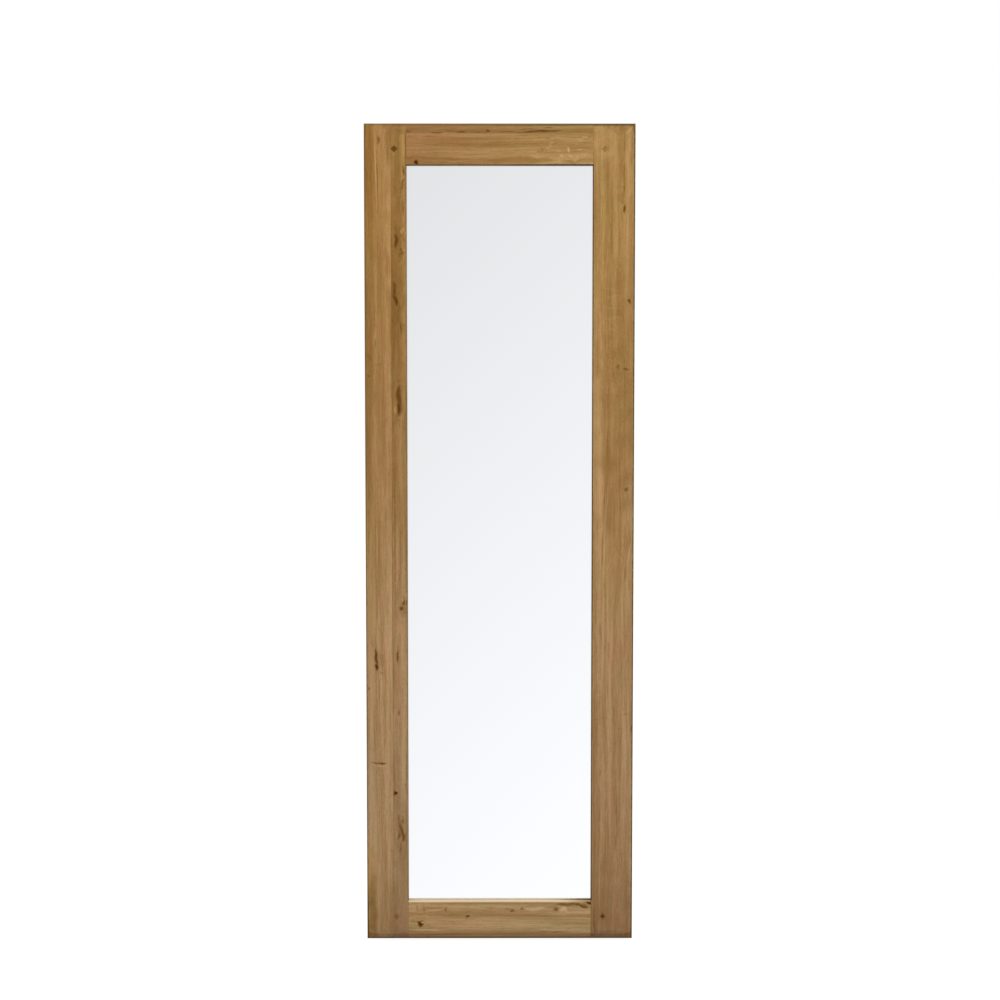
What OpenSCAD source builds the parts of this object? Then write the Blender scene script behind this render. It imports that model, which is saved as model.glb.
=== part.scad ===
// Full-length wall mirror: a pegged mortise-and-tenon oak frame with a wide bevel,
// a silvered pane held in its rebate by beads, and a pair of swinging D-ring hangers.
// Millimetres. X runs across the mirror, Y from its face to the wall, Z up.
// The origin is the bottom centre of the whole part.

/* [Frame] */
// Width over the stiles
frame_w = 590; // [500:5:700]
// Height over the rails
frame_h = 1800; // [1500:10:2000]
// Thickness of the stiles and rails
frame_t = 30; // [28:1:36]
// Width of a stile
stile_w = 93; // [85:1:110]
// Width of a rail
rail_w = 92; // [85:1:110]
// Width of the outer stave that the left stile is glued up from
outer_stave_w = 60; // [58:1:61]
// How far the bevel reaches in from the outer edge
bevel_w = 25; // [15:1:26]
// How far the bevel falls back from the face
bevel_d = 18; // [10:1:20]
// Easing of the sight edge and of the back edges
arris = 1; // [0.5:0.5:2]

/* [Corner joints] */
// Thickness of the tenons
tenon_t = 10; // [8:1:12]
// Length of the tenons
tenon_l = 58; // [50:1:60]
// Wood left outside the mortise at the end of the stile
mortise_relish = 28; // [26:1:34]
// Room left for glue at the bottom of a mortise
glue_room = 2; // [1:0.5:3]
// Side of the square pegs
peg_side = 10; // [8:0.5:10]
// Distance of a peg from the outer edge of the stile
peg_inset = 67; // [66:1:69]
// Distance of a peg from the end of the stile
peg_from_end = 58; // [56:1:60]
// How far a peg stands proud of the face
peg_proud = 0.8; // [0.2:0.1:2]

/* [Mirror pane] */
// Depth of the pane's face behind the face of the frame
glass_inset = 9; // [6:1:9]
// Thickness of the pane
glass_t = 4; // [3:1:4]
// Width of the rebate that the pane lies in
rebate_w = 12; // [10:1:12]
// Room between the edge of the pane and the rebate
glass_room = 2; // [1:0.5:3]
// Thickness of the foam sheet behind the pane
foam_t = 2; // [1:0.5:2]
// Thickness of the backing board
board_t = 5; // [4:1:6]
// Room round the backing board
board_room = 1; // [0.5:0.5:2]
// Length of the packing blocks round the pane
block_l = 40; // [20:5:60]

/* [Retaining beads] */
// Width of a bead
bead_w = 14; // [13:1:18]
// Radius on the open corner of a bead
bead_round = 5; // [3:1:6]
// Pins along an upright bead
side_pins = 8; // [6:1:9]
// Pins along a top or bottom bead
end_pins = 3; // [2:1:4]
// Length of a pin
pin_l = 30; // [25:1:32]
// Diameter of a pin
pin_d = 1.8; // [1.4:0.2:2]

/* [Hangers] */
// Height of the hanger hinges above the floor
hanger_z = 1500; // [1300:10:1600]
// Distance of a hanger from the outer edge of its stile
hanger_inset = 30; // [28:1:34]
// Width of a strap
strap_w = 16; // [14:1:17]
// Thickness of a strap
strap_t = 1.5; // [1:0.1:1.8]
// Length of a strap below its hinge
strap_l = 56; // [54:1:66]
// Diameter of the ring's wire
ring_wire = 3.5; // [3:0.1:3.6]
// Running room between the ring's wire and the strap's eye
ring_room = 0.05; // [0.03:0.01:0.1]
// Distance of the upper screw below the hinge
screw_drop = 29; // [29:1:32]
// Distance between a strap's two screws
screw_pitch = 18; // [12:1:18]
// Length of a screw under its head
screw_l = 22; // [16:1:24]
// Diameter of a screw's shank
screw_d = 4; // [3.5:0.5:4]

/* [Wall pads] */
// Diameter of a rubber pad where it is stuck to the frame
pad_d = 20; // [16:1:24]
// Height of a pad, which holds the hangers off the wall
pad_t = 8; // [8:0.5:12]
// Distance of a pad from the side edge of the frame
pad_inset = 30; // [20:1:40]
// Distance of a pad from the end of the frame
pad_from_end = 40; // [30:1:60]

/* [Hidden] */
$fn = 48;

// Cutters reach this far past what they cut
over = 1;

// Colours
oak = [0.63, 0.49, 0.31];
dark_oak = [0.57, 0.43, 0.25];
peg_oak = [0.36, 0.23, 0.11];
silvered = [0.92, 0.93, 0.94];
packing = [0.15, 0.15, 0.15];
foam = [0.88, 0.88, 0.86];
hardboard = [0.52, 0.39, 0.27];
steel = [0.70, 0.71, 0.72];
rubber = [0.12, 0.12, 0.12];

// Depths, counted along Y from the middle of the whole part, pegs and pads included
face_y = peg_proud - (peg_proud + frame_t + pad_t) / 2;
back_y = face_y + frame_t;
glass_y = face_y + glass_inset;
foam_y = glass_y + glass_t;
board_y = foam_y + foam_t;
bead_y = board_y + board_t;
bead_t = back_y - bead_y;
tenon_y = face_y + (frame_t - tenon_t) / 2;

// The sight opening, and the rebate behind it
open_w = frame_w - 2 * stile_w;
open_h = frame_h - 2 * rail_w;
rebate_across = open_w + 2 * rebate_w;
rebate_high = open_h + 2 * rebate_w;
mid_z = frame_h / 2;

// Tenons lie between the rebate and the relish
tenon_h = rail_w - rebate_w - mortise_relish;
tenon_low_z = mortise_relish;
tenon_high_z = frame_h - mortise_relish - tenon_h;

// The left stile's glue line
glue_x = -frame_w / 2 + outer_stave_w;

peg_x = frame_w / 2 - peg_inset;
peg_half = mid_z - peg_from_end;

pin_head_d = 3;
pin_head_t = 0.6;
pin_point = 2.5;
pin_y = bead_y + bead_t / 2;
pin_margin = 80;

// The hanger's hinge is held off the wood by its rolled eye
eye_bore_r = ring_wire / 2 + ring_room;
eye_r = eye_bore_r + strap_t;
eye_lift = 0.5;
eye_slit = 0.4;
eye_slit_angle = 250;
hinge_y = back_y + eye_lift + eye_r;
hanger_x = frame_w / 2 - hanger_inset;

// The D-ring's centre line: a straight bar, two bends, two short legs and a bow
ring_bar = strap_w + 2;
ring_bend_r = 3.5;
ring_leg = 2;
ring_bow_r = ring_bar / 2 + ring_bend_r;
bow_drop = ring_bend_r + ring_leg;

screw_head_r = 3.8;
screw_head_t = 2.2;
screw_point = 5;
screw_hole_room = 0.2;
recess_w = 0.9;
recess_l = 4;
recess_t = 1.3;

// Shared shapes

// Section through the frame's blank: across it, and from face to back
module blank_section(size) {
    half = size / 2;
    polygon([[-half + bevel_w, face_y], [-half, face_y + bevel_d], [-half, back_y - arris],
        [-half + arris, back_y], [half - arris, back_y], [half, back_y - arris],
        [half, face_y + bevel_d], [half - bevel_w, face_y]]);
}

// Section through the sight opening, with its eased front edge
module sight_section(size) {
    half = size / 2;
    polygon([[-half - arris - over, face_y - over], [-half, face_y + arris],
        [-half, back_y + over], [half, back_y + over], [half, face_y + arris],
        [half + arris + over, face_y - over]]);
}

// Runs a section up the height of the mirror
module run_up(from, to) {
    translate([0, 0, from]) linear_extrude(to - from) children();
}

// Runs a section across the width, with the section's own width standing up
module run_across(from, to) {
    translate([to, 0, mid_z]) rotate([0, -90, 0]) linear_extrude(to - from) children();
}

// The whole frame as one slab, so that its bevels meet in a mitre at every corner
module bevelled_slab() {
    intersection() {
        run_up(0, frame_h) blank_section(frame_w);
        run_across(-frame_w / 2, frame_w / 2) blank_section(frame_h);
    }
}

// The opening in front of the pane, eased round its front edge
module sight_opening() {
    side = open_w / 2 + arris + over;
    foot = rail_w - arris - over;
    intersection() {
        run_up(foot, frame_h - foot) sight_section(open_w);
        run_across(-side, side) sight_section(open_h);
    }
}

// A block given by its size across and up, centred on the opening, between two depths
module centred_block(across, high, from_y, to_y) {
    translate([-across / 2, from_y, mid_z - high / 2]) cube([across, to_y - from_y, high]);
}

module rebate() {
    centred_block(rebate_across, rebate_high, glass_y, back_y + over);
}

// A square bar set on its edge, as the pegs and their holes are
module diamond_bar(side, from_y, to_y) {
    translate([0, to_y, 0]) rotate([90, 0, 0]) rotate(45)
        linear_extrude(to_y - from_y) square(side, center = true);
}

module peg_holes() {
    for (x = [-peg_x, peg_x], up = [-peg_half, peg_half])
        translate([x, 0, mid_z + up]) diamond_bar(peg_side, face_y - over, back_y + over);
}

// Places a child on one side of the opening, whose top side is drawn: 0 top, 90 right, and so on
module on_side(angle) {
    reach = angle % 180 == 0 ? rebate_high / 2 : rebate_across / 2;
    translate([0, 0, mid_z]) rotate([0, angle, 0]) translate([0, 0, reach]) children();
}

// Where the pins stand along one side
function pin_places(angle) =
    let (count = angle % 180 == 0 ? end_pins : side_pins,
        run = (angle % 180 == 0 ? rebate_across : rebate_high) - 2 * pin_margin)
    [for (i = [0 : count - 1]) -run / 2 + i * run / (count - 1)];

// A child at each pin of one side, where a pin points up its own Z
module at_pins(angle) {
    on_side(angle)
        for (x = pin_places(angle)) translate([x, pin_y, -bead_w]) children();
}

// A straight shank that ends in a cone, as pins and screws have, and as the holes they make
module pointed_shank(diameter, length, point) {
    cylinder(d = diameter, h = length - point);
    translate([0, 0, length - point]) cylinder(d1 = diameter, d2 = 0, h = point);
}

module pin_bores() {
    for (angle = [0 : 90 : 270]) at_pins(angle) {
        pointed_shank(pin_d, pin_l, pin_point);
        translate([0, 0, -over]) cylinder(d = pin_d, h = 2 * over);
    }
}

// Screw places on one strap, where a screw points into the wood up its own Z
module at_screws(side) {
    for (drop = [screw_drop, screw_drop + screw_pitch])
        translate([side * hanger_x, back_y + strap_t, hanger_z - drop]) rotate([90, 0, 0])
            children();
}

module screw_bores() {
    for (side = [-1, 1]) at_screws(side) pointed_shank(screw_d, screw_l, screw_point);
}

// The four mortises, a little deeper than their tenons
module mortises() {
    depth = tenon_l + glue_room;
    for (x = [-open_w / 2 - depth, open_w / 2], z = [tenon_low_z, tenon_high_z])
        translate([x, tenon_y, z]) cube([depth, tenon_t, tenon_h]);
}

// The wooden frame

module stile_wood(from_x, to_x) {
    difference() {
        intersection() {
            bevelled_slab();
            translate([from_x, face_y - over, -over])
                cube([to_x - from_x, frame_t + 2 * over, frame_h + 2 * over]);
        }
        sight_opening();
        rebate();
        mortises();
        peg_holes();
        pin_bores();
        screw_bores();
    }
}

module stile_left_outer_stave() {
    color(oak) stile_wood(-frame_w / 2, glue_x);
}

module stile_left_inner_stave() {
    color(dark_oak) stile_wood(glue_x, -open_w / 2);
}

module stile_right() {
    color(oak) stile_wood(open_w / 2, frame_w / 2);
}

// A rail, in one piece with the tenons at its two ends
module rail(low_z, tenon_z) {
    difference() {
        union() {
            intersection() {
                bevelled_slab();
                translate([-open_w / 2, face_y - over, low_z])
                    cube([open_w, frame_t + 2 * over, rail_w]);
            }
            translate([-open_w / 2 - tenon_l, tenon_y, tenon_z])
                cube([open_w + 2 * tenon_l, tenon_t, tenon_h]);
        }
        sight_opening();
        rebate();
        peg_holes();
        pin_bores();
    }
}

module rail_top() {
    color(oak) rail(frame_h - rail_w, tenon_high_z);
}

module rail_bottom() {
    color(oak) rail(0, tenon_low_z);
}

// A square peg driven right through the joint, with the four edges of its proud head eased
module peg(side, up) {
    color(peg_oak) translate([side * peg_x, back_y, mid_z + up * peg_half])
        rotate([90, 45, 0]) intersection() {
            peg_plank();
            rotate(90) peg_plank();
        }
}

// A bar as wide as a peg that stands on the back of the frame, its front edges cut off
module peg_plank() {
    half = peg_side / 2;
    length = frame_t + peg_proud;
    rotate([90, 0, 0]) linear_extrude(peg_side, center = true)
        polygon([[-half, 0], [half, 0], [half, frame_t], [half - peg_proud, length],
            [peg_proud - half, length], [-half, frame_t]]);
}

// The pane and what holds it

module mirror_pane() {
    color(silvered)
        centred_block(rebate_across - 2 * glass_room, rebate_high - 2 * glass_room, glass_y, foam_y);
}

// The pane stands on two blocks, a quarter of its width in from each end
module setting_block(side) {
    color(packing)
        translate([side * open_w / 4 - block_l / 2, glass_y, rail_w - rebate_w])
            cube([block_l, glass_t, glass_room]);
}

// Packers centre the pane between the stiles, near its top and its bottom
module edge_packers() {
    color(packing)
        for (side = [-1, 1], up = [-1, 1])
            translate([side * (rebate_across - glass_room) / 2, glass_y + glass_t / 2,
                    mid_z + up * open_h / 3])
                cube([glass_room, glass_t, block_l], center = true);
}

module foam_sheet() {
    color(foam)
        centred_block(rebate_across - 2 * glass_room, rebate_high - 2 * glass_room, foam_y, board_y);
}

module backing_board() {
    color(hardboard)
        centred_block(rebate_across - 2 * board_room, rebate_high - 2 * board_room, board_y, bead_y);
}

// A mitred bead with a rounded open corner, drawn for the top side
module bead(length, angle) {
    color(oak) difference() {
        on_side(angle) intersection() {
            translate([0, back_y, 0]) rotate([90, 0, 0]) linear_extrude(bead_t)
                polygon([[-length / 2, 0], [length / 2, 0], [length / 2 - bead_w, -bead_w],
                    [bead_w - length / 2, -bead_w]]);
            translate([-length / 2, 0, 0]) rotate([90, 0, 90]) linear_extrude(length) bead_section();
        }
        pin_bores();
    }
}

module bead_section() {
    translate([bead_y, -bead_w]) square([bead_t - bead_round, bead_w]);
    translate([bead_y, bead_round - bead_w]) square([bead_t, bead_w - bead_round]);
    translate([back_y - bead_round, bead_round - bead_w]) circle(bead_round);
}

module bead_pins() {
    color(steel) for (angle = [0 : 90 : 270]) at_pins(angle) {
        pointed_shank(pin_d, pin_l, pin_point);
        translate([0, 0, -pin_head_t]) cylinder(d = pin_head_d, h = pin_head_t);
    }
}

// The hangers

// Side view of a strap: a plate on the wood that rolls over into the ring's eye
module strap_section() {
    plate = -eye_r - eye_lift;
    difference() {
        union() {
            circle(eye_r);
            polygon([[plate, -strap_l], [plate + strap_t, -strap_l], [plate + strap_t, -strap_t],
                [0, 0], [-eye_r, 0], [plate, -strap_t]]);
        }
        circle(eye_bore_r);
        rotate(eye_slit_angle) translate([0, -eye_slit / 2]) square([eye_r + over, eye_slit]);
    }
}

// Outline of a strap from behind, square at the eye and round at its lower end
module strap_outline() {
    round_z = strap_w / 2 - strap_l;
    translate([0, round_z]) circle(strap_w / 2);
    translate([-strap_w / 2, round_z]) square([strap_w, eye_r + over - round_z]);
}

module hanger_strap(side) {
    color(steel) difference() {
        translate([side * hanger_x, hinge_y, hanger_z]) intersection() {
            translate([-strap_w / 2, 0, 0]) rotate([90, 0, 90]) linear_extrude(strap_w)
                strap_section();
            translate([0, eye_r + over, 0]) rotate([90, 0, 0])
                linear_extrude(2 * eye_r + eye_lift + 2 * over) strap_outline();
        }
        at_screws(side) translate([0, 0, -over])
            cylinder(d = screw_d + 2 * screw_hole_room, h = strap_t + 2 * over);
    }
}

// A quarter or half turn of wire, swept in the ring's own plane
module wire_turn(radius, from, sweep) {
    rotate([90, 0, 0]) rotate(from)
        rotate_extrude(angle = sweep) translate([radius, 0]) circle(d = ring_wire);
}

module hanger_ring(side) {
    color(steel) translate([side * hanger_x, hinge_y, hanger_z]) {
        rotate([0, 90, 0]) cylinder(d = ring_wire, h = ring_bar, center = true);
        for (hand = [-1, 1]) {
            translate([hand * ring_bar / 2, 0, -ring_bend_r])
                wire_turn(ring_bend_r, hand > 0 ? 0 : 90, 90);
            translate([hand * ring_bow_r, 0, -bow_drop]) cylinder(d = ring_wire, h = ring_leg);
        }
        translate([0, 0, -bow_drop]) wire_turn(ring_bow_r, 180, 180);
    }
}

// A pan-head screw with a crossed recess, pointing up its own Z
module hanger_screw() {
    difference() {
        union() {
            pointed_shank(screw_d, screw_l, screw_point);
            rotate_extrude() screw_head_section();
        }
        for (turn = [0, 90]) rotate(turn)
            translate([-recess_l / 2, -recess_w / 2, -screw_head_t - over])
                cube([recess_l, recess_w, recess_t + over]);
    }
}

module screw_head_section() {
    round_r = screw_head_t / 2;
    translate([0, -screw_head_t]) square([screw_head_r - round_r, screw_head_t]);
    translate([0, -round_r]) square([screw_head_r, round_r]);
    translate([screw_head_r - round_r, -round_r]) circle(round_r);
}

module hanger_screws(side) {
    color(steel) at_screws(side) hanger_screw();
}

// Rubber pads that keep the mirror off the wall

module wall_pad(side, up) {
    draft = 1.5;
    round_r = 1.5;
    top_r = pad_d / 2 - draft;
    color(rubber)
        translate([side * (frame_w / 2 - pad_inset), back_y, mid_z + up * (mid_z - pad_from_end)])
            rotate([-90, 0, 0]) rotate_extrude() {
                polygon([[0, 0], [pad_d / 2, 0], [top_r, pad_t - round_r],
                    [top_r - round_r, pad_t], [0, pad_t]]);
                translate([top_r - round_r, pad_t - round_r]) circle(round_r);
            }
}

stile_left_outer_stave();
stile_left_inner_stave();
stile_right();
rail_top();
rail_bottom();
peg(-1, 1);  // peg_top_left
peg(1, 1);  // peg_top_right
peg(-1, -1);  // peg_bottom_left
peg(1, -1);  // peg_bottom_right
mirror_pane();
setting_block(-1);  // setting_block_left
setting_block(1);  // setting_block_right
edge_packers();
foam_sheet();
backing_board();
bead(rebate_across, 0);  // bead_top
bead(rebate_high, 90);  // bead_right
bead(rebate_across, 180);  // bead_bottom
bead(rebate_high, 270);  // bead_left
bead_pins();
hanger_strap(-1);  // hanger_strap_left
hanger_strap(1);  // hanger_strap_right
hanger_ring(-1);  // hanger_ring_left
hanger_ring(1);  // hanger_ring_right
hanger_screws(-1);  // hanger_screws_left
hanger_screws(1);  // hanger_screws_right
wall_pad(-1, 1);  // wall_pad_top_left
wall_pad(1, 1);  // wall_pad_top_right
wall_pad(-1, -1);  // wall_pad_bottom_left
wall_pad(1, -1);  // wall_pad_bottom_right
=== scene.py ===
"""Dresses the packed full-length mirror with its carved oak boards, pegs, pane, packing and hangers."""

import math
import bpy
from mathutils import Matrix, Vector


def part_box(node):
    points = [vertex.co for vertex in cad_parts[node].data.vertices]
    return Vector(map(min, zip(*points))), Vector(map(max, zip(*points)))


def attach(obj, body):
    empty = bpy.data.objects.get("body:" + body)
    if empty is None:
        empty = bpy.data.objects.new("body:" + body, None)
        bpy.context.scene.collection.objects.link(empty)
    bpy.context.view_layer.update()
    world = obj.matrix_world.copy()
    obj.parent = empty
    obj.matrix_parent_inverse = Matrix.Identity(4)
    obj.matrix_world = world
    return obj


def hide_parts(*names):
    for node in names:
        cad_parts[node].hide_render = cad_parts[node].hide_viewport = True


bl_info = {
    "name": "Full-Length Oak Mirror",
    "version": (1, 0, 0),
    "blender": (4, 5, 0),
    "location": "View3D > Sidebar > Oak Mirror",
    "description": "Builds the boards, pegs, pane, beads, hangers and studio of a full-length mirror",
    "category": "Add Mesh",
}

from typing import NamedTuple

import bmesh
import bpy
import numpy as np
from bpy.props import FloatProperty, FloatVectorProperty, PointerProperty
from mathutils import Matrix, Vector

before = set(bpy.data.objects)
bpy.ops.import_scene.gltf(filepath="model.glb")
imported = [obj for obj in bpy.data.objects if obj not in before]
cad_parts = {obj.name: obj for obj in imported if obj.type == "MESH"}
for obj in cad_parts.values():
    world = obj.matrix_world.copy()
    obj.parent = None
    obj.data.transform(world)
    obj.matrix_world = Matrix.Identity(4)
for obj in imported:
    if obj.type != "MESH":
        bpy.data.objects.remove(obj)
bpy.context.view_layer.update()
MM = 0.001

# Places that the construction gives, in metres
FACE_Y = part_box("stile_right")[0].y
BACK_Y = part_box("stile_right")[1].y
HALF_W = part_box("stile_right")[1].x
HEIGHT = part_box("stile_right")[1].z
OPEN_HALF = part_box("stile_right")[0].x
SILL_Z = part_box("rail_bottom")[1].z
HEAD_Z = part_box("rail_top")[0].z
GLUE_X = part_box("stile_left_inner_stave")[0].x
GLASS_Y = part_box("mirror_pane")[0].y

CORNERS = ("top_left", "top_right", "bottom_left", "bottom_right")
SIDES = ("left", "right")

# How far each bead is turned from the top one, in degrees
BEAD_TURNS = {"top": 0, "right": 90, "bottom": 180, "left": 270}

# Points along a peg's side, the height of a screw's head, and half the width of the floor
PEG_STEPS = 12
SCREW_HEAD = 2.2 * MM
FLOOR_REACH = 7.0

# Where the lamp stands, what it faces and its size, in metres
LAMP_PLACE = (1.1, -3.3, 1.9)
LAMP_TARGET = (0.0, 0.0, 0.9)
LAMP_SIZE = (2.6, 1.8)

# Where the camera stands, how it is turned, and its shift as a share of the picture
CAMERA_PLACE = (-3.5 * MM, -2618.6 * MM, 1214.4 * MM)
CAMERA_TURN = (math.radians(90 - 2.411), 0.0, math.radians(-0.092))
CAMERA_SHIFT = -0.056


def bevel_of(node):
    """Width and depth of the bevel along the bottom of a rail, read from the rail's own corners."""
    corners = [vertex.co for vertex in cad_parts[node].data.vertices]
    width = min(c.z for c in corners if c.y < FACE_Y + 0.01 * MM)
    depth = min(c.y for c in corners if c.z < 0.01 * MM) - FACE_Y
    return width, depth


BEVEL_W, BEVEL_D = bevel_of("rail_bottom")
EDGE_Y = FACE_Y + BEVEL_D


def middle_of(node):
    low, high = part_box(node)
    return (low + high) / 2


PEG_PLACES = {corner: middle_of("peg_" + corner) for corner in CORNERS}
PEG_REACH = (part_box("peg_top_left")[1].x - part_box("peg_top_left")[0].x) / 2


def linear(red, green, blue):
    """The shaders' linear colour for one given on a screen, 0 to 255 in each channel."""
    shares = (red / 255, green / 255, blue / 255)
    return tuple(s / 12.92 if s <= 0.04045 else ((s + 0.055) / 1.055) ** 2.4 for s in shares)


# Settings

def length_setting(name, description, default):
    return FloatProperty(name=name, description=description, default=default, min=0.0,
                         unit="LENGTH", subtype="DISTANCE", precision=5)


def share_setting(name, description, default):
    return FloatProperty(name=name, description=description, default=default, min=0.0, max=1.0,
                         subtype="FACTOR")


def colour_setting(name, description, default):
    return FloatVectorProperty(name=name, description=description, default=default, size=3,
                               min=0.0, max=1.0, subtype="COLOR")


class OakSettings(bpy.types.PropertyGroup):
    """Shapes and colours of the boards, beads and pegs"""

    edge_radius: length_setting("Edge radius", "Rounding of the outer and sight edges", 1.75 * MM)
    arris_soft: length_setting("Soft arris", "How widely the bevel's arris is eased", 1.6 * MM)
    bevel_wander: length_setting("Bevel wander", "How far the hand-cut arris strays", 1.0 * MM)
    joint_ease: length_setting("Joint ease", "Depth of the fine groove at a shoulder", 0.3 * MM)
    waviness: length_setting("Waviness", "Unevenness of the scraped faces", 0.16 * MM)
    ring_pitch: length_setting("Ring pitch", "Width of one year's growth", 3.2 * MM)
    heart: colour_setting("Knot colour", "Colour of knots and shakes", linear(104, 62, 12))
    # Dark lines in the joints, and the painted shade along the edges and round the glass, take this
    # colour
    line: colour_setting("Edge colour", "Colour in joints and along the edges", linear(88, 68, 28))
    # The sill's ledge is painted towards this pale colour as a highlight where it catches the light
    bare: colour_setting("Bare wood", "Colour of the sill, rubbed bare", linear(255, 234, 198))
    # Painted shade: how much darker the frame is made towards the foot
    foot: share_setting("Foot shade", "How much the foot has darkened", 0.5)
    wax: share_setting("Wax roughness", "Roughness of the waxed surface", 0.46)


class PaneSettings(bpy.types.PropertyGroup):
    """The mirror pane"""

    arris: length_setting("Ground arris", "Width of the ground arris round the pane", 0.6 * MM)
    silver: colour_setting("Silver", "Tint of the silvering", (0.97, 0.975, 0.975))
    edge: colour_setting("Glass edge", "Colour of the ground glass edge", linear(120, 158, 142))
    paint: colour_setting("Backing paint", "Paint behind the silvering", linear(96, 104, 108))


class FittingSettings(bpy.types.PropertyGroup):
    """The packing, backing, hangers, pins and pads"""

    softening: length_setting("Softening", "Rounding of stamped edges", 0.22 * MM)
    zinc: colour_setting("Zinc", "Colour of the plated hangers", linear(206, 208, 212))
    pin_steel: colour_setting("Pin steel", "Colour of the pins", linear(168, 166, 162))
    hardboard: colour_setting("Hardboard", "Colour of the backing board", linear(134, 102, 72))
    foam: colour_setting("Foam", "Colour of the foam sheet", linear(232, 232, 226))
    packing: colour_setting("Packing", "Colour of the packing blocks", linear(46, 46, 48))
    rubber: colour_setting("Rubber", "Colour of the wall pads", linear(38, 38, 40))


class StudioSettings(bpy.types.PropertyGroup):
    """Floor, light and camera"""

    sky: FloatProperty(name="Sky", description="Strength of the even light from all round",
                       default=0.72, min=0.0)
    key: FloatProperty(name="Key", description="Power of the large soft lamp in front",
                       default=40.0, min=0.0, unit="POWER")
    floor: colour_setting("Floor", "Colour of the floor", (0.8, 0.8, 0.8))
    lens: FloatProperty(name="Lens", description="Focal length on a 36 mm sensor, in millimetres",
                        default=43.01, min=1.0)


# Node trees

class Wiring:
    """Adds and joins the nodes of one tree. A value is a constant or another node's output."""

    def __init__(self, tree):
        self.tree = tree

    def feed(self, socket, value):
        if isinstance(value, bpy.types.NodeSocket):
            self.tree.links.new(value, socket)
        elif socket.type == "RGBA" and len(value) == 3:
            socket.default_value = (*value, 1.0)
        else:
            socket.default_value = value

    def feed_all(self, node, values):
        """Feeds a node's inputs in order from a list, or by place or socket name from a dict."""
        pairs = values.items() if isinstance(values, dict) else enumerate(values)
        for key, value in pairs:
            self.feed(node.inputs[key], value)

    def node(self, kind, values=(), **settings):
        node = self.tree.nodes.new(kind)
        for name, value in settings.items():
            setattr(node, name, value)
        self.feed_all(node, values)
        return node

    def math(self, operation, *values):
        return self.node("ShaderNodeMath", values, operation=operation).outputs[0]

    def chain(self, operation, first, *rest):
        for value in rest:
            first = self.math(operation, first, value)
        return first

    def times(self, *values):
        return self.chain("MULTIPLY", *values)

    def larger(self, *values):
        return self.chain("MAXIMUM", *values)

    def smaller(self, *values):
        return self.chain("MINIMUM", *values)

    def minus(self, first, second):
        return self.math("SUBTRACT", first, second)

    def gap(self, first, second):
        """How far two values lie apart."""
        return self.math("ABSOLUTE", self.minus(first, second))

    def under(self, value, limit):
        return self.math("LESS_THAN", value, limit)

    def sum(self, start, *terms):
        """start plus each (weight, value) of the terms."""
        total = start
        for weight, value in terms:
            total = self.math("MULTIPLY_ADD", value, weight, total)
        return total

    def rise(self, value, low, high):
        """0 below low, 1 above high, and smooth between."""
        values = {"Value": value, "From Min": low, "From Max": high}
        return self.node("ShaderNodeMapRange", values, interpolation_type="SMOOTHSTEP").outputs[0]

    def fall(self, value, low, high):
        """1 below low, 0 above high, and smooth between."""
        return self.minus(1.0, self.rise(value, low, high))

    def vector(self, operation, *values):
        return self.node("ShaderNodeVectorMath", values, operation=operation).outputs[0]

    def length(self, vector):
        return self.node("ShaderNodeVectorMath", [vector], operation="LENGTH").outputs["Value"]

    def split(self, vector):
        return self.node("ShaderNodeSeparateXYZ", [vector]).outputs

    def join(self, *parts):
        return self.node("ShaderNodeCombineXYZ", parts).outputs[0]

    def noise(self, point, size, detail=2.0, output=0):
        """Noise whose features measure size (one length for each axis) in the point's own unit."""
        values = {"Vector": self.vector("DIVIDE", point, size), "Scale": 1.0, "Detail": detail}
        return self.node("ShaderNodeTexNoise", values).outputs[output]

    def blend(self, share, first, second, kind="MIX"):
        values = {0: share, 6: first, 7: second}
        return self.node("ShaderNodeMix", values, data_type="RGBA", blend_type=kind).outputs[2]

    def tint(self, colour, shares):
        """A colour with each channel multiplied by its share."""
        return self.blend(1.0, colour, shares, "MULTIPLY")


SOCKETS = {"number": "NodeSocketFloat", "vector": "NodeSocketVector", "colour": "NodeSocketColor",
           "geometry": "NodeSocketGeometry", "object": "NodeSocketObject",
           "material": "NodeSocketMaterial"}


def new_group(name, kind, inputs, outputs):
    """An empty node group: its tree, its wiring, its inputs by name and its output node.

    The named sockets come as a dict from each form to the labels of that form."""
    tree = bpy.data.node_groups.new(name, kind)
    for side, sockets in (("INPUT", inputs), ("OUTPUT", outputs)):
        for form, labels in sockets.items():
            for label in labels:
                tree.interface.new_socket(label, in_out=side, socket_type=SOCKETS[form])
    w = Wiring(tree)
    return tree, w, w.node("NodeGroupInput").outputs, w.node("NodeGroupOutput")


def shared_group(build):
    """The node group that a function builds, built when it is first asked for."""
    name = build.__name__.replace("_", " ").capitalize()
    return bpy.data.node_groups.get(name) or build(name)


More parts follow.
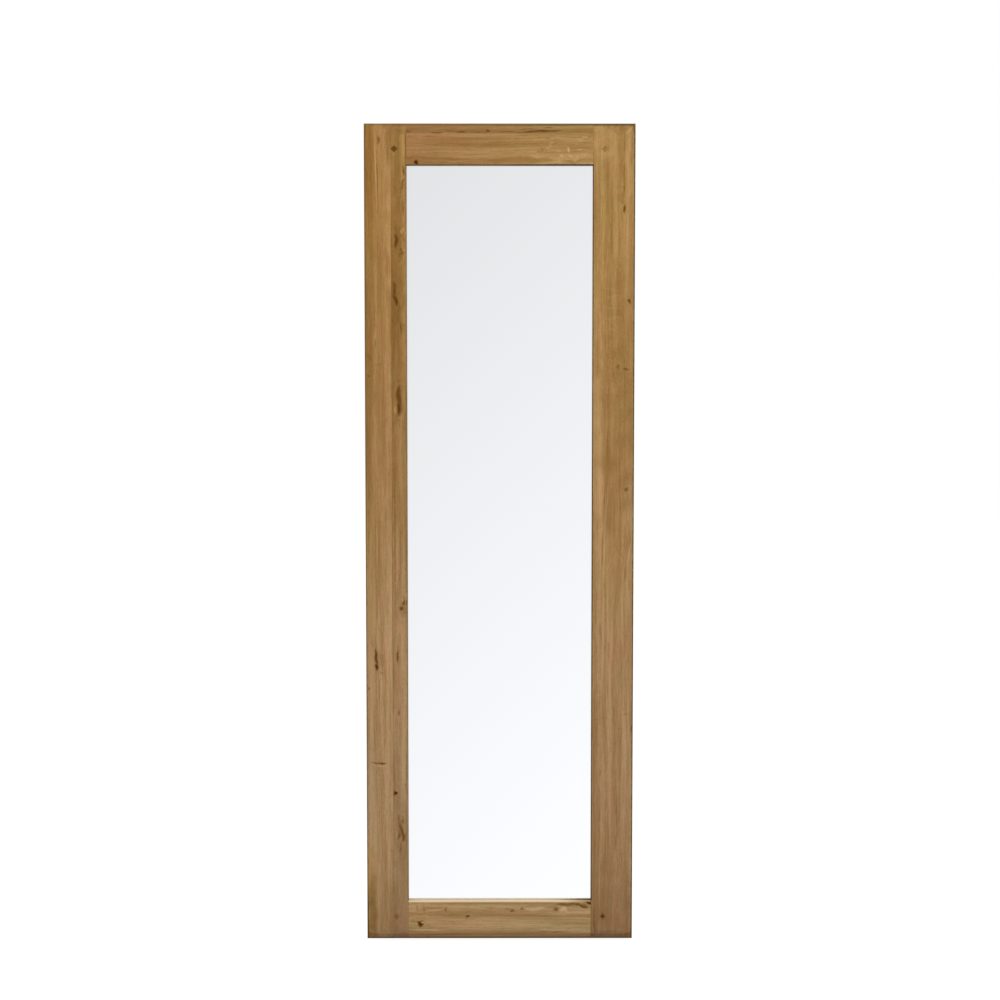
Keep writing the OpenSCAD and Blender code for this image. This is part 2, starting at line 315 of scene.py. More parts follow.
def oak_grain(name):
    """Waxed oak in the grain's own coordinates: across the board, into it and along it."""
    tree, w, given, result = new_group(name, "ShaderNodeTree", {
        "vector": ("Grain", "Pith"), "colour": ("Tone", "Heart", "Joint", "Bare"),
        "number": ("Ring Pitch", "Seed", "End", "Stain", "Pale", "Pit", "Line", "Ledge Highlight", "Wax"),
    }, {"colour": ("Color",), "number": ("Roughness", "Height")})

    grain = w.vector("MULTIPLY", given["Grain"], (1000, 1000, 1000))
    shift = w.vector("MULTIPLY", w.join(given["Seed"], given["Seed"], given["Seed"]), (37, 11, 613))
    place = w.vector("ADD", grain, shift)
    drift = w.vector("SUBTRACT", w.noise(place, (70, 70, 420), output=1), (0.5, 0.5, 0.5))
    bend = w.vector("MULTIPLY", drift, (16, 16, 0))
    place = w.vector("ADD", place, bend)

    # Growth rings round the pith, narrow and wide, each early and then late wood
    from_pith = w.vector("SUBTRACT", w.vector("ADD", grain, bend), given["Pith"])
    radius = w.length(w.vector("MULTIPLY", from_pith, (1, 1, 0)))
    rings = w.math("DIVIDE", radius, w.times(given["Ring Pitch"], 1000))
    season = w.math("FRACT", rings)
    year = w.node("ShaderNodeTexWhiteNoise", {"W": w.math("FLOOR", rings)},
                  noise_dimensions="1D").outputs["Value"]
    late = w.minus(w.rise(season, 0.35, 0.9), w.rise(season, 0.93, 1.0))
    late = w.times(late, w.rise(year, -0.6, 1.0))
    early = w.fall(season, 0.05, 0.4)

    # What lies along the grain, fine and broad, makes the depth of the tone
    fibre = w.noise(place, (0.9, 0.9, 70))
    streak = w.noise(place, (9.0, 18, 260))
    dapple = w.noise(place, (3.2, 8, 34), detail=3.0)
    broad = w.noise(place, (24, 40, 600), detail=1.0)
    pore = w.rise(w.sum(w.noise(place, (0.42, 0.42, 8)), (0.11, early)), 0.61, 0.70)
    fleck = w.rise(w.noise(place, (1.3, 12, 15)), 0.64, 0.74)

    depth = w.sum(-0.5, (0.7, streak), (0.7, broad), (0.25, fibre), (0.4, dapple), (0.1, late),
                  (0.3, pore), (-0.14, fleck), (0.3, given["End"]))
    light = w.tint(given["Tone"], (1.3, 1.35, 1.5))
    deep = w.tint(given["Tone"], (0.63, 0.53, 0.34))
    colour = w.blend(w.rise(depth, 0.0, 1.0), light, deep)
    olive = w.tint(colour, (0.97, 1.01, 0.93))
    ruddy = w.tint(colour, (1.03, 0.985, 0.97))
    colour = w.blend(w.rise(w.noise(place, (11, 16, 60)), 0.36, 0.64), olive, ruddy)

    # The same fine noise frays the edge of every mark: its halo, stain and hole, or its pale streak
    ragged = w.minus(w.noise(place, (1.1, 1.1, 5), detail=4.0), 0.5)
    halo = w.rise(w.sum(given["Stain"], (0.5, ragged)), 0.02, 0.6)
    stain = w.rise(w.sum(given["Stain"], (0.9, ragged)), 0.35, 0.98)
    pit = w.rise(w.sum(given["Pit"], (0.4, ragged)), 0.35, 0.8)
    pale = w.rise(w.sum(given["Pale"], (0.7, ragged)), 0.2, 0.95)
    hole = w.tint(given["Heart"], (0.42, 0.34, 0.25))
    for mask, share, shown in ((halo, 0.55, deep), (stain, 0.85, given["Heart"]), (pit, 0.9, hole),
                               (pale, 0.8, light)):
        colour = w.blend(w.times(mask, share), colour, shown)
    # Painted highlight: the sill's ledge is blended towards a pale colour where it catches the light
    colour = w.blend(given["Ledge Highlight"], colour, given["Bare"])
    w.feed_all(result, {
        # The joint colour lays both the dark joints and the painted shade along the edges and round the
        # glass
        "Color": w.blend(given["Line"], colour, given["Joint"]),
        "Roughness": w.sum(given["Wax"], (0.22, pore), (0.25, pit), (0.1, given["End"]),
                           (-0.08, late)),
        "Height": w.sum(0.0, (-0.07, pore), (0.03, fibre), (0.02, late), (-0.12, stain),
                        (0.03, ragged))})
    return tree


def edges_and_joints(name):
    """Dark joints, painted shade on the outer and sight edges, a painted highlight on the sill's ledge.
    """
    tree, w, given, result = new_group(name, "ShaderNodeTree", {
        "vector": ("Point",), "number": ("Edge Width", "Sight Width", "Joint Width"),
    }, {"number": ("Line", "Ledge Highlight")})

    def line(distance, width, soft=0.35):
        return w.fall(w.math("DIVIDE", distance, width), soft, 1.0)

    x, y, z = w.split(given["Point"])
    uneven = w.noise(given["Point"], (0.012, 0.012, 0.012), detail=3.0)
    patchy = w.rise(w.noise(given["Point"], (0.05, 0.05, 0.05)), 0.35, 0.65)
    sideways = w.math("ABSOLUTE", x)
    on_face = w.under(y, GLASS_Y)

    # Painted shade on the outer edge, heaviest at the foot, the head and the right
    from_end = w.smaller(z, w.minus(HEIGHT, z))
    outward = w.smaller(w.minus(HALF_W, sideways), from_end)
    behind = w.larger(w.minus(y, EDGE_Y), 0.0)
    # Near the floor this painted shade stands for the contact shadow
    low = w.fall(z, 0.05, 0.2)
    head = w.rise(z, HEIGHT - 30.0 * MM, HEIGHT - 10.0 * MM)
    reach = w.times(given["Edge Width"], w.sum(
        0.5, (1.0, uneven), (0.6, w.fall(from_end, 0.0, 0.03)), (0.5, head), (0.25, low)))
    share = w.larger(low, w.sum(0.6, (0.4, w.rise(x, -0.25, 0.25)), (-0.25, head)))
    edge = w.times(line(w.length(w.join(outward, behind, 0.0)), reach, 0.5), share)

    # Painted shade along the sight edge, where the reveal is in shadow, but not along the sill
    beyond = w.larger(w.minus(SILL_Z, z), w.minus(z, HEAD_Z))
    beside = w.minus(sideways, OPEN_HALF)
    outside = w.length(w.join(w.larger(beyond, 0.0), w.larger(beside, 0.0), 0.0))
    above = w.math("GREATER_THAN", z, SILL_Z + 0.2 * MM)
    reach = w.times(given["Sight Width"], w.sum(0.5, (1.0, uneven)))
    # The painted shade is heavier to the right, where the reveal faces away from the light
    share = w.sum(0.35, (0.5, w.rise(x, -0.2, 0.15)), (0.15, patchy))
    sight = w.times(line(outside, reach, 0.5), above, share, on_face)

    # The staves' glue line and the rails' shoulders
    reach = w.times(given["Joint Width"], w.sum(0.2, (1.6, uneven)))
    glue = w.times(line(w.gap(x, GLUE_X), reach), w.sum(0.1, (0.3, patchy)))
    on_bevel = w.rise(beyond, SILL_Z - BEVEL_W - 6.0 * MM, SILL_Z - BEVEL_W + 2.0 * MM)
    low_right = w.times(w.math("GREATER_THAN", x, 0.0), w.under(z, SILL_Z))
    share = w.sum(0.12, (0.25, patchy), (-0.2, on_bevel), (0.35, low_right))
    shoulder = w.times(line(w.math("ABSOLUTE", beside), reach), share,
                       w.math("GREATER_THAN", beyond, 0.0))

    # The painted shadow at the glass's foot, and a painted highlight on the ledge in front of it
    from_sill = w.gap(z, SILL_Z)
    in_opening = w.under(beside, 0.0)
    foot = w.times(line(w.gap(y, GLASS_Y), 4.0 * MM, 0.5), line(from_sill, 3.0 * MM, 0.5),
                   w.sum(0.18, (0.82, w.rise(x, 0.09, 0.2))), in_opening)
    share = w.sum(0.73, (0.2, w.rise(y, FACE_Y, FACE_Y + 2.0 * MM)), (-0.6, w.rise(x, 0.13, 0.2)))
    ledge = w.times(line(from_sill, 4.2 * MM, 0.0), in_opening, on_face, share)
    w.feed_all(result, {"Line": w.larger(edge, sight, glue, shoulder, foot), "Ledge Highlight": ledge})
    return tree


def handled_surface(name):
    """Blotches, fine scratches and dust of a handled surface, as masks between 0 and 1."""
    tree, w, given, result = new_group(name, "ShaderNodeTree", {
        "vector": ("Point",), "number": ("Size",),
    }, {"number": ("Blotch", "Scratch", "Grit")})
    size = given["Size"]
    place = w.vector("DIVIDE", given["Point"], w.join(size, size, size))
    turned = w.node("ShaderNodeVectorRotate", {"Vector": place, "Angle": 0.6}).outputs[0]
    w.feed_all(result, {
        "Blotch": w.rise(w.noise(place, (1, 1, 1), detail=3.0), 0.35, 0.65),
        "Scratch": w.rise(w.noise(turned, (0.05, 0.05, 2.4)), 0.62, 0.72),
        "Grit": w.noise(place, (0.06, 0.06, 0.06), detail=3.0)})
    return tree


def new_material(name, constants):
    """A material, its wiring and its shader, with constants set on the shader's own sockets."""
    material = bpy.data.materials.new(name)
    material.use_nodes = True
    shader = material.node_tree.nodes["Principled BSDF"]
    w = Wiring(material.node_tree)
    w.feed_all(shader, constants)
    return material, w, shader


def dress(w, shader, colour, roughness, height=None, unit=MM):
    """Feeds a shader its colour and roughness and, for a relief, a height in units of a length."""
    w.feed_all(shader, {"Base Color": colour, "Roughness": roughness})
    if height is not None:
        bump = w.node("ShaderNodeBump", {"Height": height, "Distance": unit, "Strength": 1.0})
        w.feed(shader.inputs["Normal"], bump.outputs[0])


def attribute(w, name, output="Fac"):
    return w.node("ShaderNodeAttribute", attribute_name=name).outputs[output]


def object_point(w):
    return w.node("ShaderNodeTexCoord").outputs["Object"]


def aged_tone(w, point, tone, foot_shade_share):
    """The frame's tone with painted shade towards the foot and along the bottom bevel, and a golden
    tint on the left bevel.
    """
    x, y, z = w.split(point)
    # Painted shade, darker towards the foot
    tone = w.blend(w.times(w.fall(z, 0.0, 0.24), foot_shade_share), tone, w.tint(tone, (0.76, 0.73, 0.66)))
    # Painted shade on the lower part of the down-facing bottom bevel, made darker and warmer
    waver = w.noise(point, (0.03, 0.03, 0.004))
    skirt_shade = w.rise(w.sum(z, (4.0 * MM, waver)), 16.5 * MM, 21.0 * MM)
    tone = w.blend(skirt_shade, w.tint(tone, (0.72, 0.6, 0.41)), tone)
    # A golden, slightly darker tint in bands along the left bevel
    arris = HALF_W - BEVEL_W
    on_bevel = w.times(w.under(y, EDGE_Y), w.rise(w.times(x, -1.0), arris, arris + 6.0 * MM))
    golden_bands = w.sum(w.fall(z, 0.13, 0.3), (0.45, w.rise(z, 0.35, 0.7)), (0.5, w.rise(z, 1.4, 1.65)))
    return w.blend(w.times(on_bevel, golden_bands), tone, w.tint(tone, (1.0, 0.95, 0.68)))


def oak_material(name, oak, tones, pith, seed, axis, edges):
    """Oak for one piece that runs along an axis, from the grain and marks that its mesh carries."""
    material, w, shader = new_material(name, {"IOR": 1.45, "Specular IOR Level": 0.11})
    coordinates = w.node("ShaderNodeTexCoord").outputs
    point = coordinates["Object"]
    span = (0.15, 1.65) if axis == 2 else (-0.2, 0.2)
    tone = w.blend(w.rise(w.split(point)[axis], *span), *tones)
    end = w.math("ABSOLUTE", w.split(coordinates["Normal"])[axis])
    if edges:
        tone = aged_tone(w, point, tone, oak.foot)
        widths = {"Point": point, "Edge Width": 3.8 * MM, "Sight Width": 2.0 * MM,
                  "Joint Width": 0.9 * MM}
        group = w.node("ShaderNodeGroup", widths, node_tree=shared_group(edges_and_joints))
        # The group's second output is the painted highlight on the sill's ledge
        line, ledge_highlight = group.outputs["Line"], group.outputs["Ledge Highlight"]
    else:
        line, ledge_highlight = attribute(w, "line"), 0.0
    wood = w.node("ShaderNodeGroup", {
        "Grain": attribute(w, "grain", "Vector"), "Stain": attribute(w, "stain"),
        "Pale": attribute(w, "pale"), "Pit": attribute(w, "pit"), "End": w.rise(end, 0.75, 0.95),
        "Tone": tone, "Heart": oak.heart, "Joint": oak.line, "Bare": oak.bare, "Line": line,
        "Ledge Highlight": ledge_highlight, "Pith": pith, "Ring Pitch": oak.ring_pitch, "Seed": seed,
        "Wax": oak.wax}, node_tree=shared_group(oak_grain)).outputs
    dress(w, shader, wood["Color"], wood["Roughness"], wood["Height"])
    return material


# Mesh helpers

def new_object(name, mesh):
    piece = bpy.data.objects.new(name, mesh)
    bpy.context.scene.collection.objects.link(piece)
    return piece


def merged_shape(node):
    """A CAD node's loose triangles, joined at their corners into closed solids."""
    shape = bmesh.new()
    shape.from_mesh(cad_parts[node].data)
    bmesh.ops.remove_doubles(shape, verts=shape.verts, dist=0.001 * MM)
    return shape


def merged_copy(node):
    """A closed copy of a CAD node, its flat faces joined again."""
    shape = merged_shape(node)
    bmesh.ops.dissolve_limit(shape, angle_limit=math.radians(0.5), verts=shape.verts,
                             edges=shape.edges)
    mesh = bpy.data.meshes.new(node)
    shape.to_mesh(mesh)
    shape.free()
    return mesh


def closed_mesh(name, points, faces):
    """A mesh from points and faces, every face turned outwards."""
    mesh = bpy.data.meshes.new(name)
    mesh.from_pydata(points, [], faces)
    shape = bmesh.new()
    shape.from_mesh(mesh)
    bmesh.ops.recalc_face_normals(shape, faces=shape.faces)
    shape.to_mesh(mesh)
    shape.free()
    return mesh


def tube(name, rings, start=None, end=None):
    """A closed mesh over rings of points, each end drawn to its tip or, without one, closed flat."""
    count = len(rings[0])
    points = [point for ring in rings for point in ring]
    steps = [(s, (s + 1) % count) for s in range(count)]
    faces = []
    for first in range(0, len(points) - count, count):
        faces += [(first + s, first + t, first + count + t, first + count + s) for s, t in steps]
    for tip, first in ((start, 0), (end, len(points) - count)):
        if tip is None:
            faces.append(tuple(range(first, first + count)))
        else:
            faces += [(first + s, first + t, len(points)) for s, t in steps]
            points.append(tip)
    return closed_mesh(name, points, faces)


def cut(name, mesh, cutter_mesh, operation):
    """A mesh cut with another: INTERSECT keeps what they share, DIFFERENCE what lies outside."""
    piece, cutter = new_object(name, mesh), new_object("cutter", cutter_mesh)
    modifier = piece.modifiers.new("Cut", "BOOLEAN")
    modifier.operation = operation
    modifier.solver = "MANIFOLD"
    modifier.object = cutter
    settle(piece)
    bpy.data.objects.remove(cutter)
    return piece


def settle(piece):
    """Applies the piece's modifiers, so that a plain mesh is left."""
    bpy.context.view_layer.update()
    evaluated = piece.evaluated_get(bpy.context.evaluated_depsgraph_get())
    mesh = bpy.data.meshes.new_from_object(evaluated)
    piece.modifiers.clear()
    piece.data = mesh
    return mesh


def shade(mesh, sharp_degrees):
    mesh.shade_smooth()
    mesh.set_sharp_from_angle(angle=math.radians(sharp_degrees))


def paint(mesh, *materials):
    """Gives a mesh these materials and no others, with every face on the first of them."""
    mesh.materials.clear()
    for material in materials:
        mesh.materials.append(material)


def store(mesh, name, values):
    """Keeps one number or vector for each vertex under a name that materials read."""
    values = np.asarray(values, np.float32)
    vector = values.ndim == 2
    layer = mesh.attributes.new(name, "FLOAT_VECTOR" if vector else "FLOAT", "POINT")
    layer.data.foreach_set("vector" if vector else "value", values.ravel())


def points_of(mesh):
    flat = np.empty(len(mesh.vertices) * 3, np.float32)
    mesh.vertices.foreach_get("co", flat)
    return flat.reshape(-1, 3).astype(float)


def check_size(piece, node, slack=0.35 * MM):
    """Stops the build if a piece doesn't fill the box of the CAD node that it stands for."""
    points = points_of(piece.data)
    low, high = (np.array(corner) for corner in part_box(node))
    off = max(np.abs(points.min(0) - low).max(), np.abs(points.max(0) - high).max())
    if off > slack:
        raise RuntimeError(f"{piece.name} is {off / MM:.2f} mm off {node}")


def finish_piece(piece, body, node):
    """Rides the piece on its body in place of the CAD node that it stands for."""
    check_size(piece, node)
    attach(piece, body)
    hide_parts(node)


def eased(distance, width):
    """1 on a line, falling smoothly to 0 at width from it."""
    t = np.clip(1.0 - np.abs(distance) / width, 0.0, 1.0)
    return t * t * (3.0 - 2.0 * t)


def soft_max(first, second, blend):
    """The larger of two depths, rounded over where they cross."""
    near = np.clip(1.0 - np.abs(first - second) / blend, 0.0, 1.0)
    return np.maximum(first, second) + near * near * blend / 4.0


def ripple(x, z, wave, seed):
    """Slow unevenness between 0 and 1 made of a few long waves."""
    chance = np.random.default_rng(seed)
    total = 0.0
    for _ in range(6):
        heading, stretch, start = chance.uniform(0.0, 1.0, 3)
        along = x * math.cos(math.pi * heading) + z * math.sin(math.pi * heading)
        total = total + np.sin(2.0 * math.pi * ((0.5 + stretch) * along / wave + start))
    return 0.5 + total / 12.0


def ladder(low, high, coarse, spots):
    """Places from low to high, coarse apart, and closer round each spot (place, reach, fine)."""
    places = [low]
    while places[-1] < high:
        here = places[-1]
        steps = [fine + 0.35 * max(0.0, abs(here - place) - reach) for place, reach, fine in spots]
        places.append(here + min([coarse, *steps]))
    places[-1] = high
    if places[-1] - places[-2] < 0.01 * MM:
        del places[-2]
    return np.array(places)


# Boards

class Mark(NamedTuple):
    """A knot, shake, hole or streak on a board's front, in millimetres.

    It lies at x and z, long along the grain and wide across it, lean degrees off the grain. A dark
    below zero is a pale streak, and swirl is how far the grain flows round it."""

    x: float
    z: float
    long: float
    wide: float
    lean: float
    depth: float
    dark: float
    swirl: float = 0.0


class Board(NamedTuple):
    """One board: the tones of its first and last end, and its pith, in mm across and into it."""

    node: str
    upright: bool
    tones: tuple
    pith: tuple
    seed: int
    marks: tuple


def marks(sunk, flat):
    """A board's marks: sunk rows as Mark has them, and flat rows, which leave the depth out."""
    rows = [Mark(*row) for row in sunk]
    rows += [Mark(*row[:5], 0.0, *row[5:]) for row in flat]
    return tuple(rows)


OUTER_STAVE = Board(
    "stile_left_outer_stave", True, (linear(177, 145, 109), linear(173, 132, 81)), (-330, 34, 0), 3,
    marks(sunk=[
        (-287.5, 1253, 8, 4, 0, 0.3, 0.85), (-271, 635, 49, 8, -4, 0.7, 1, 0.6),
        (-269.5, 615, 20, 9.5, -8, 1, 1, 0.5), (-288, 564, 11, 4, 0, 0.3, 0.7),
        (-259, 401, 5.5, 19, -1, 0.4, 1),
    ], flat=[
        (-262, 1760.5, 24, 9, 4, 0.6), (-264.5, 1679, 110, 3.5, -1.5, 0.6),
        (-280, 1417, 928, 20, 0, 0.3), (-285, 1700, 210, 18, 0, 0.32), (-271, 1378, 80, 4, 0, 0.55),
        (-270.5, 1322, 27, 4, 0, 0.5), (-283, 1292, 27, 10, -12, 0.5, 0.5),
        (-264.5, 1278, 5, 29, -14, 0.42), (-279.5, 1274.5, 20, 9, 10, 0.35, 0.4),
        (-279, 851, 265, 6.5, 0, 0.3), (-271.5, 672, 49, 3, 0, 0.45), (-280, 666, 31, 6.5, 0, 0.4),
        (-265, 628, 57, 20, -4, 0.4), (-260.5, 626, 53, 2.5, -6, 0.4),
        (-259.5, 601.5, 6.5, 13, 30, 0.5), (-264.5, 571, 88, 3, -2, 0.55),
        (-268, 400.5, 4, 38, -1, 0.75), (-257, 370, 49, 3.5, 0, 0.4),
        (-246, 106, 71, 3.5, -3, 0.45), (-276.5, 88, 97, 5.5, -7, 0.45),
        (-284, 72, 186, 27, -1, 0.52, 0.2), (-276, 38, 53, 9, 0, 0.45),
        # The pale streaks at x -268.5 and -266.5, high on the stave, are a painted highlight along the
        # bevel's arris
        (-268.5, 1712, 137, 3.5, -2.1, -1), (-266.5, 1619, 66, 3, 0, -0.5),
        (-236, 1579, 442, 22, 0, -0.6), (-255, 1417, 199, 9, 0, -0.3),
        (-239, 1048, 707, 27, 0, -0.4), (-268, 884, 133, 3, -1, -0.6),
        (-267, 394, 3.5, 31, 0, -0.6),
    ]))

INNER_STAVE = Board(
    "stile_left_inner_stave", True, (linear(162, 130, 96), linear(162, 124, 71)), (-190, 60, 0), 8,
    marks(sunk=[
        (-207.5, 1696, 27, 4.5, -8, 0.1, 0.75, 0.5), (-209.5, 1667, 27, 5, 10, 0.1, 0.7, 0.6),
        (-209, 1617, 40, 4.5, 0, 0.1, 0.6, 0.3), (-207.5, 1546.5, 20, 9, -12, 0.1, 0.5, 0.6),
        (-224.5, 1544, 40, 9, -2, 0.6, 1, 0.5), (-214, 1518, 27, 10, 14, 0.2, 0.7, 0.7),
        (-228.5, 1441, 44, 10, -4, 0.2, 0.9, 0.4), (-226, 1417, 35, 10, -14, 0.7, 1, 0.5),
        (-219, 1209, 57, 12, 0, 0.5, 1, 0.5), (-219.5, 1183, 40, 9.5, -5, 0.8, 1, 0.4),
        (-211, 757.5, 18, 9, -10, 0.6, 0.85, 0.6), (-204, 757.5, 16, 3.5, 0, 0.4, 0.8),
        (-214.5, 744, 12, 12, 0, 0.6, 0.85, 0.6), (-223.5, 638, 33, 6, 0, 0.5, 0.85, 0.3),
        (-221.5, 514, 18, 5, 0, 0.2, 0.6), (-231.5, 334, 11, 11, 0, 1.5, 1, 0.6),
        (-223, 277.5, 20, 8, 8, 0.2, 0.75, 0.5), (-214, 274.5, 22, 7.5, -4, 0.2, 0.75, 0.4),
        (-219, 259, 31, 10, 6, 0.2, 0.8, 0.5), (-222, 241, 31, 6.5, 8, 0.2, 0.75, 0.3),
        (-213, 241, 40, 8.5, -6, 0.4, 0.95, 0.4),
    ], flat=[
        (-216, 1780, 18, 13, 0, 0.4), (-202.5, 1748, 75, 3.5, 0, 0.6), (-214, 1654, 57, 3, 4, 0.4),
        (-224, 1551, 102, 22, 0, 0.5, 0.3), (-206, 1499, 20, 4.5, 10, 0.45, 0.3),
        (-211, 1443, 35, 4.5, 6, 0.5), (-234.5, 1417, 796, 27, 0, 0.42),
        (-222.5, 1404, 110, 20, -6, 0.5), (-220, 1391, 49, 4, -8, 0.55),
        (-232, 1374, 53, 3, 0, 0.6), (-215, 1361, 57, 5, -3, 0.65), (-220.5, 1352, 442, 29, 0, 0.4),
        (-220, 1201, 133, 20, 0, 0.55, 0.3), (-219, 1148, 35, 3.5, 0, 0.6),
        (-220.5, 1101, 35, 3.5, 0, 0.4), (-229, 895, 508, 5.5, 0, 0.5),
        (-212, 750, 57, 24, 4, 0.45, 0.4), (-208.5, 735.5, 13, 5.5, 10, 0.5),
        (-237, 719, 663, 18, 0, 0.35), (-223, 653, 31, 3.5, 0, 0.5), (-229, 573, 40, 3, 4, 0.4),
        (-231.5, 368, 75, 3.5, 0, 0.5), (-225, 326, 11, 5.5, -30, 0.5),
        (-205.5, 319, 464, 4, 0, 0.5), (-218, 259, 80, 20, 0, 0.5, 0.3),
        (-219, 241, 221, 27, 0, 0.4), (-219, 209, 44, 5, 3, 0.6), (-225, 140, 133, 4.5, 0, 0.3),
        (-207, 1748, 71, 5.5, 0, -1), (-211, 1679.5, 16, 4.5, 20, -0.7),
        (-210.5, 1566, 18, 9, 12, -0.7, 0.5), (-209, 1527, 13, 5.5, -20, -0.7),
        (-227, 1177, 22, 5, -10, -0.7), (-209, 939, 221, 5.5, 0, -0.35),
        (-213, 763, 13, 5.5, -16, -0.8), (-212, 763, 18, 4.5, 0, -0.5),
        (-218.5, 653, 133, 9, 0, -0.3),
    ]))

RIGHT_STILE = Board(
    "stile_right", True, (linear(167, 134, 99), linear(174, 137, 84)), (262, 46, 0), 5,
    marks(sunk=[
        (269.5, 1614, 20, 7, 4, 0.5, 0.9, 0.5), (281.5, 1414.5, 9.5, 12, 30, 0.5, 0.95, 0.6),
        (257.5, 1272.5, 12, 9, -10, 0.2, 0.7, 0.6), (274.5, 1268, 6.5, 16, 14, 0.2, 0.8, 0.6),
        (276.5, 1005, 12, 12, 0, 0.4, 0.8, 0.7), (291, 472.5, 13, 3.5, 0, 0.4, 0.9),
    ], flat=[
        (273, 1787, 13, 10, 0, 0.4), (269, 1669, 97, 3.5, 0, 0.6),
        (260.5, 1636, 33, 16, 0, 0.4, 0.2), (242, 1547, 133, 5.5, 0, 0.45),
        (262, 1430.5, 6.5, 7.5, 10, 0.5), (259.5, 1417, 133, 24, 0, 0.3, 0.2),
        (238.5, 1411, 75, 5.5, 0, 0.5), (257, 1342, 442, 31, 0, 0.28), (238, 1296, 93, 5, 0, 0.5),
        (272, 1288, 27, 3.5, 0, 0.45), (262, 1190, 800, 100, 0, 0.4),
        (236.5, 1205, 124, 5, 1.8, 0.5), (266.5, 1123.5, 5.5, 9, 0, 0.45),
        (234, 1096, 124, 5, 1.5, 0.5), (229, 983, 133, 5, 4, 0.5), (286, 895, 75, 3.5, -2, 0.5),
        (224.5, 868, 133, 5, 2, 0.5), (248, 851, 442, 27, 0, 0.18), (274.5, 818, 53, 6.5, 0, 0.45),
        (221.5, 708, 243, 5.5, 0.3, 0.45), (239, 652, 57, 5.5, 0, 0.4),
        (278, 508.5, 7.5, 18, 0, 0.35), (229.5, 501.5, 5.5, 16, 0, 0.35),
        (265, 478.5, 5.5, 18, 0, 0.35), (221.5, 379, 18, 5, 0, 0.45), (220.5, 292, 22, 5, 0, 0.35),
        (258.5, 285, 110, 4, 0, 0.5), (239.5, 234, 84, 4.5, 1, 0.4), (256, 225, 57, 4, 2, 0.5),
        (257.5, 83, 243, 97, 0, 0.36), (209.5, 47, 97, 6.5, 0, 0.6), (249, 21, 4, 88, 0, 0.6),
        (279.5, 1782, 28, 4, 41, -1), (227, 1775.5, 3.5, 18, 0, -0.6),
        (231.5, 1756, 133, 88, 0, -0.5), (280.5, 1705, 210, 17, 0, -0.6),
        (241, 1441, 7.5, 49, 9, -0.4), (247.5, 1424, 7, 53, -7, -0.4),
        (241.5, 1400, 7.5, 44, 8, -0.4), (248, 1378.5, 7.5, 49, -6, -0.4),
        (243.5, 1352.5, 7, 40, 7, -0.3), (217, 983, 1547, 16, 0, -0.5), (234, 972, 133, 4, 4, -0.5),
        (283.5, 860, 80, 3.5, 9.5, -0.8), (228.5, 851, 133, 4, 1.5, -0.6),
        (282.5, 767, 93, 3.5, -6.5, -0.8), (226.5, 708, 199, 5.5, 0, -0.5),
        (214.5, 697, 354, 9.5, 0, -0.45), (228, 330, 380, 18, 0, -0.45),
    ]))

TOP_RAIL = Board(
    "rail_top", False, (linear(172, 131, 85), linear(184, 149, 99)), (1690, 90, 0), 11,
    marks(sunk=[
        (-180.5, 1713, 11, 12, 0, 1.8, 1, 0.6), (-26, 1781.5, 14, 8.5, 0, 0.3, 0.85, 0.5),
    ], flat=[
        (-197.5, 1780, 22, 10, 0, 0.5), (-177.5, 1708, 7.5, 4.5, 0, 0.9),
        (-156.5, 1769, 22, 3.5, 0, 0.5), (-141.5, 1751, 57, 3.5, 0, 0.4),
        (-135, 1777, 35, 5.5, 2, 0.75), (-128.5, 1735, 49, 3, 0, 0.35),
        (-128.5, 1763, 155, 22, 0, 0.25), (-122.5, 1713, 27, 4.5, 0, 0.5),
        (-108, 1780, 29, 4.5, 1, 0.6), (-83.5, 1779, 27, 6, 0, 0.85, 0.2),
        (-53, 1778, 53, 5.5, 0, 0.6), (16, 1780, 66, 5, 0, 0.6), (37.5, 1763, 22, 4.5, 0, 0.4),
        (42.5, 1777.5, 9, 4.5, 0, 0.6), (56.5, 1756.5, 22, 3.5, 0, 0.35),
        (60, 1786, 49, 4.5, 3, 0.8), (87, 1780, 102, 6.5, 3, 1), (87, 1735, 13, 22, -40, 0.3, 0.4),
        (100, 1780, 53, 5, 3, 0.9), (103.5, 1763.5, 13, 5.5, 0, 0.45, 0.3),
        (104, 1789, 31, 3.5, 3, 0.7), (151.5, 1712, 40, 4, 0, 0.5), (158, 1781, 31, 3.5, 0, 0.35),
        (190.5, 1759, 35, 13, 0, 0.25), (-64, 1724, 199, 11, 0, -0.4), (-21, 1788, 398, 9, 0, -0.4),
        (108.5, 1748, 11, 31, -50, -0.5, 0.3), (128, 1737, 11, 3.5, 0, -0.6, 0.3),
        (133.5, 1726.5, 11, 5.5, -24, -0.8), (143, 1726, 186, 20, 0, -0.5),
        (148, 1739.5, 5.5, 13, 10, -0.9), (154, 1725, 20, 3.5, -22, -0.8),
        (166.5, 1720, 13, 27, -30, -0.55, 0.3), (173, 1740.5, 22, 4.5, 6, -0.55),
        (181.5, 1767, 27, 13, 20, -0.45, 0.3),
    ]))

